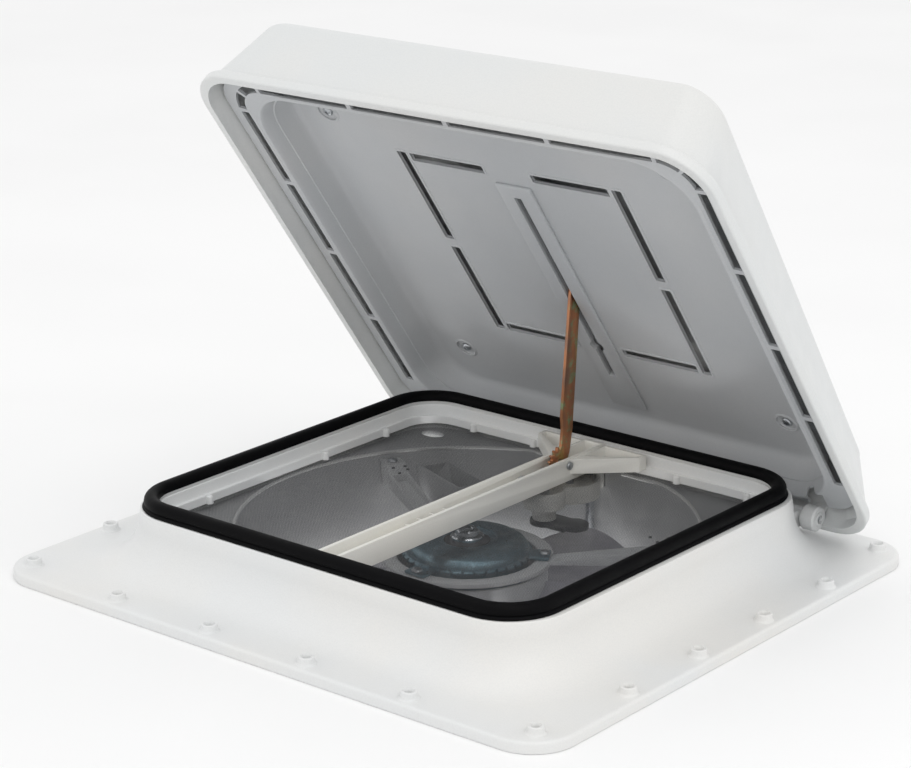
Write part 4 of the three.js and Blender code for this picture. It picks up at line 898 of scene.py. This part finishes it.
def drive_and_fan():
    """Every other piece under the screen keeps its own shape, with eased edges."""
    refined("crossbar", BAR_WHITE, width=0.7)
    refined("gear_tray", BAR_WHITE, width=0.4)
    refined("worm_end_cap", BLACK_AND_PAINTED_SHADE, width=0.7)
    refined("fan_shroud", GREY, width=0.3)
    refined("motor_bracket", PALE_GREY, width=0.3)
    refined("wiring_box", GREY, width=0.4)
    refined("lift_arm", GOLD, "arm", 0.25)
    refined("arm_guide_pin", ZINC, "arm", 0.4)
    refined("arm_pivot_pin", ZINC, "base", 0.4)
    refined("idler_pin", ZINC, "base", 0.3)
    refined("worm_shaft", ZINC, "worm", 0.2)
    refined("worm_gear", GEAR_RESIN, "worm", 0.15)
    refined("idler_gear", GEAR_RESIN, "idler", 0.15)
    refined("crank_pinion", GEAR_RESIN, "crank", 0.15)
    refined("crank_shaft", ZINC, "crank", 0.3)
    refined("crank_knob", WHITE, "crank", 0.6)
    refined("motor_shaft", ZINC, "fan", 0.3)
    refined("rotor_nut", ZINC, "fan", 0.4)
    refined("lift_track", ZINC, "lid", 0.4)
    for i in range(1, 4):
        for kind in ("bracket", "motor"):
            node = f"{kind}_screw_{i}"
            low, high = box_mm(node)
            centre = (low + high) / 2
            screw = phillips(node + "_fine", centre[:2], high[2] - 2.2)
            finished(screw, ZINC, "base", (node,))
    low, high = box_mm("tray_screw")
    centre = (low + high) / 2
    screw = phillips("tray_screw_fine", centre[:2], high[2] - 2.2)
    finished(screw, ZINC, "base", ("tray_screw",))


# ---------------------------------------------------------------- lid
def dome_wall(inset, lean, turn, drop):
    """A loop of the dome above its bead. Lean and turn are shares of each wall's own lean and
    rounding. Heights over the bead shrink in a straight line from the front to the hinge."""
    reach = {wall: inset + DOME_LEAN[wall] * lean + (DOME_ROUND[wall] - inset) * turn
             for wall in DOME_LEAN}
    bead = RIM_Z + BEAD_HEIGHT
    loop = rectangle(LID_X - BEAD_PROUD - reach["side"], LID_FRONT + BEAD_PROUD + reach["front"],
                     LID_REAR - BEAD_PROUD - reach["rear"],
                     max(LID_CORNER - (BEAD_PROUD + reach["side"]) * 0.5, 3), 0)
    fall = 1 - (1 - DOME_FALL) * (loop[:, 1] - LID_FRONT) / (LID_REAR - LID_FRONT)
    loop[:, 2] = bead + (LID_TOP - inset - drop - bead) * fall - inset * (1 - fall)
    return loop


def shoulder(inset):
    """Loops of the wall's rounded shoulder: a quarter ellipse from each wall to the top."""
    return [dome_wall(inset, 1, 1 - math.cos(a), (DOME_ROUND["front"] - inset) * (1 - math.sin(a)))
            for a in arc(0, 90, 12)]


def dome_top(inset):
    """Loops from the shoulder to the middle of the falling top."""
    return [dome_wall(inset, 1, 1 + share, 0) for share in (0.6, 1.4, 2.2, 3.0)]


def lid_dome():
    """Outer dome: beaded rim, leaning walls and a rounded shoulder that falls to the hinge."""
    bead_top = RIM_Z + BEAD_HEIGHT
    edge = [dome_at(1.4 - 1.4 * math.sin(a), RIM_Z + 1.4 * (1 - math.cos(a)))
            for a in arc(0, 90, 4)]
    bead = [dome_at(BEAD_PROUD * (1 - math.cos(a)), bead_top - 3 + 3 * math.sin(a))
            for a in arc(0, 80, 6)]
    foot = dome_at(BEAD_PROUD + 0.3, bead_top + 0.8)
    outer = [*edge, *bead, foot, *shoulder(0), *dome_top(0)]
    inset = BEAD_PROUD + LID_WALL
    inner = [dome_at(inset, RIM_Z + 0.2), dome_at(inset, bead_top), *shoulder(LID_WALL),
             *dome_top(LID_WALL)]
    dome = banded("dome", outer, inner)
    finished(swung(dome), DOME_WHITE, "lid", ("lid_dome",), 34)
    for side, word in ((-1, "left"), (1, "right")):
        x0, x1 = hinge_span(side, DISC_IN)
        disc = rod_x("disc", x0, x1, HINGE[1], HINGE[2], DISC_R, PIN_R + PIN_FIT, edge=1.2)
        web = slab((x0 + 1, HINGE[1] + 2, HINGE[2]), (x1 - 1, LID_REAR - 9, 38))
        bevelled(web, 0.9)
        washer = rod_x("washer", *hinge_span(side, (DISC_IN[1], DISC_IN[1] - 1)),
                       HINGE[1], HINGE[2], 5.2, PIN_R + PIN_FIT, edge=0.3)
        knuckle = joined("lid_knuckle_" + word, disc, web, washer)
        finished(swung(knuckle), WHITE, "lid")


def slot_spans():
    """Slots through the liner's land and round its panel, as (x0, x1, y0, y1)."""
    side_x, front_y, half = LINER_X + 20.5, LINER_FRONT - 17.0, LAND_SLOT_HALF
    land = []
    for low, high in runs(LINER_FRONT + 9.5, LINER_REAR - 16.5, 4):
        land += [(s * side_x - half, s * side_x + half, low, high) for s in (-1, 1)]
    for low, high in runs(7 - LINER_X, LINER_X - 7, 4):
        land.append((low, high, front_y - half, front_y + half))
    outer, front, rear = LINER_X - 82, LINER_FRONT + 61.5, LINER_REAR - 81.5
    middle = (front + rear) / 2
    panel = []
    for s in (-1, 1):
        x0, x1 = sorted((s * outer, s * (outer - PANEL_SLOT)))
        panel += [(x0, x1, front, middle - 5), (x0, x1, middle + 5, rear)]
        x0, x1 = sorted((s * (RIDGE_HALF + 6), s * (outer - PANEL_SLOT - 4)))
        panel += [(x0, x1, front, front + PANEL_SLOT), (x0, x1, rear - PANEL_SLOT, rear)]
    return land, panel


def corner_slot(side, start, end):
    """Part of the curved slot in a front corner of the liner's land, over those degrees."""
    centre = (side * (LINER_X - 7.5), LINER_FRONT + 11.0)
    angle = arc(start, end, 8)
    loops = []
    outer, inner = CORNER_SLOT_R + LAND_SLOT_HALF, CORNER_SLOT_R - LAND_SLOT_HALF
    for z in (LAND_Z - CUT_UNDER, LAND_Z + CUT_OVER):
        rim = [(centre[0] + side * r * math.cos(a), centre[1] - r * math.sin(a), z)
               for r, sweep in ((outer, angle), (inner, angle[::-1])) for a in sweep]
        loops.append(np.array(rim))
    return shell("corner_slot", loops)


def runs(low, high, count, bridge=4.0):
    """Equal runs from low to high with bridges left between them."""
    ends = np.linspace(low, high, count + 1)
    return [(a + bridge / 2, b - bridge / 2) for a, b in zip(ends[:-1], ends[1:])]


def raised_rim(x0, x1, y0, y1, z, width=2.2, lift=0.5, corner=0.6):
    """Low rounded rim round a slot, standing down from the liner's floor."""
    half_x, half_y = (x1 - x0) / 2, (y1 - y0) / 2
    section = [(0, z + 0.5), (0, z - lift + 0.3), (0.3, z - lift), (width * 0.5, z - lift),
               (width - 0.3, z - lift * 0.6), (width, z + 0.5)]
    centre = np.array([(x0 + x1) / 2, (y0 + y1) / 2, 0])
    loops = [rectangle(half_x + out, -half_y - out, half_y + out, corner + out, height, 3) + centre
             for out, height in section]
    return ring("rim", loops)


def track_slot():
    """Cutting block for the slot that the lift arm's end runs along."""
    return slab((-TRACK_HALF, TRACK_FRONT, FLOOR_Z - CUT_UNDER),
                (TRACK_HALF, TRACK_REAR, FLOOR_Z + CUT_OVER))


def track_mouth():
    """Cutting post for the wider hole in that slot, where the guide pin goes in."""
    return lathe("mouth", [(AXIS, FLOOR_Z - CUT_UNDER), (MOUTH_R, FLOOR_Z - CUT_UNDER),
                           (MOUTH_R, FLOOR_Z + CUT_OVER), (AXIS, FLOOR_Z + CUT_OVER)],
                 32, (0, MOUTH_Y))


def lid_liner():
    """Inner liner: a pressed tray. Its section runs in along the land, over a rounded lip, down
    the leaning wall with one step in it, and out over a rounded foot on to the floor."""
    landing = BEAD_PROUD + LID_WALL + LAND_CLEAR
    section = [(LINER_SLOPE + 4.5, LAND_Z), (LINER_SLOPE + 3.4, LAND_Z - 0.7),
               (LINER_SLOPE + 2.2, LAND_Z - 1.1), (LINER_SLOPE + 1.0, LAND_Z - 0.7),
               (LINER_SLOPE + 0.2, LAND_Z + 0.4), (LINER_SLOPE - 0.4, LAND_Z + 1.6),
               (LINER_SLOPE - 3.0, LAND_Z + 9.5), (LINER_SLOPE - 4.0, LAND_Z + 9.9),
               (2.2, FLOOR_Z - 6), (0.8, FLOOR_Z - 3), (-0.6, FLOOR_Z - 1.4),
               (-2.8, FLOOR_Z - 0.35), (-5.5, FLOOR_Z)]
    lower = [land_at(landing, LAND_Z), *[liner_at(out, z) for out, z in section],
             liner_at(-110, FLOOR_Z)]
    upper = [land_at(landing, LAND_Z + LINER_T),
             *[liner_at(out + 1.2, z + LINER_T) for out, z in section],
             liner_at(-110, FLOOR_Z + LINER_T)]
    liner = banded("liner", lower, upper)
    land, panel = slot_spans()
    tools = [slab((x0, y0, LAND_Z - CUT_UNDER), (x1, y1, LAND_Z + CUT_OVER))
             for x0, x1, y0, y1 in land]
    tools += [slab((x0, y0, FLOOR_Z - CUT_UNDER), (x1, y1, FLOOR_Z + CUT_OVER))
              for x0, x1, y0, y1 in panel]
    tools.append(track_slot())
    for side in (-1, 1):
        x0, x1 = hinge_span(side, (DISC_IN[0] + 2, DISC_IN[1] - 2))
        tools.append(slab((x0, LINER_REAR, RIM_Z), (x1, LID_REAR, LAND_Z + CUT_UNDER)))
    for tool in tools:
        bevelled(tool, 0.8, segments=3)
    tools += [corner_slot(side, *span) for side in (-1, 1) for span in CORNER_SLOT_SPANS]
    minus(liner, joined("slot_tools", *tools))
    ridge = slab((-RIDGE_HALF, TRACK_FRONT - 12, FLOOR_Z - RIDGE_DEEP),
                 (RIDGE_HALF, NECK_Y - 6.8, FLOOR_Z + 0.5))
    bevelled(ridge, 1.2, segments=3)
    minus(ridge, track_slot())
    minus(ridge, track_mouth())
    minus(liner, track_mouth())
    screws = [(x, y) for y in (LINER_FRONT + 30.2, LINER_REAR - 41.5)
              for x in (31.2 - LINER_X, LINER_X - 31.2)]
    for place in screws:
        minus(liner, lathe("dish", [(AXIS, FLOOR_Z - 3), (8.2, FLOOR_Z - 3), (8.2, FLOOR_Z + 0.4),
                                    (7.4, FLOOR_Z + 1.2), (AXIS, FLOOR_Z + 1.2)], 40, place))
    finished(swung(liner), LINER, "lid", ("lid_liner",), 30)
    rims = [raised_rim(x0, x1, y0, y1, FLOOR_Z) for x0, x1, y0, y1 in panel]
    for place in screws:
        rims.append(lathe("rim", [(8.2, FLOOR_Z + 0.3), (8.2, FLOOR_Z - 0.5), (8.8, FLOOR_Z - 0.9),
                                  (9.8, FLOOR_Z - 0.5), (10.6, FLOOR_Z + 0.3)], 40, place))
    finished(swung(joined("liner_rims", ridge, *rims)), LINER, "lid", (), 40)
    for i, place in enumerate(screws, 1):
        screw = phillips(f"lid_screw_fine_{i}", place, FLOOR_Z + 1.0, upside_down=True)
        finished(swung(screw), ZINC, "lid", (f"lid_screw_{i}",))


# ---------------------------------------------------------------- studio
def floor():
    """Pale roof sheet under the flange, with the opening that the neck drops into."""
    half, z = 6000.0, -0.3
    loops = [rectangle(half, -half, half, 40, z), neck_at(-2.5, z), neck_at(-2.5, z - 1.5),
             rectangle(half, -half, half, 40, z - 1.5)]
    made = ring("studio_floor", loops)
    pale = Shader("studio_paper")
    tone = pale.noise(3.0, 2.0).ramp(0.3, 0.7, 0.9, 0.92)
    pale.set(Base_Color=pale.mix(tone, (0.0, 0.0, 0.0), (1.0, 1.0, 1.0)), Roughness=0.9)
    made.data.materials.append(pale.material)


def lamp(name, place, aim, size, power, colour=(1, 1, 1)):
    """A square soft box at a place, in metres, facing an aim point."""
    light = bpy.data.lights.new(name, "AREA")
    light.shape = "SQUARE"
    light.size = size
    light.energy = power
    light.color = colour
    made = bpy.data.objects.new(name, light)
    bpy.context.scene.collection.objects.link(made)
    made.location = place
    direction = Vector(aim) - Vector(place)
    made.rotation_euler = direction.to_track_quat("-Z", "Y").to_euler()


def studio():
    """White surroundings, a soft key from the front right, and light up through the neck."""
    world = bpy.data.worlds.new("studio")
    bpy.context.scene.world = world
    world.use_nodes = True
    background = world.node_tree.nodes["Background"]
    background.inputs["Color"].default_value = (1.0, 1.0, 1.0, 1.0)
    background.inputs["Strength"].default_value = 0.97
    lamp("key", (1.6, -0.9, 1.9), (0, 0, 0.1), 1.4, 8)
    lamp("below", (0.1, -0.1, -1.2), (0, 0, 0), 0.8, 26)
    lamp("over", (0.2, -0.4, 2.6), (0, 0, 0), 1.2, 4)


def camera():
    """The three-quarter view from the front right."""
    lens = bpy.data.cameras.new("camera")
    lens.sensor_width = 36
    lens.lens = 110.3
    made = bpy.data.objects.new("camera", lens)
    bpy.context.scene.collection.objects.link(made)
    made.location = (1.1951, -1.4819, 0.7403)
    forward = Vector((-0.60177, 0.73942, -0.30187))
    made.rotation_euler = forward.to_track_quat("-Z", "Y").to_euler()
    bpy.context.scene.camera = made


camera()
studio()
floor()
base_frame()
weather_seal()
screen_frame()
insect_screen()
drive_and_fan()
shroud_lip_painted_highlight()
pad_hole_painted_shade()
motor()
rotor()
worm_thread()
lid_dome()
lid_liner()

bpy.context.scene.view_settings.view_transform = "Standard"
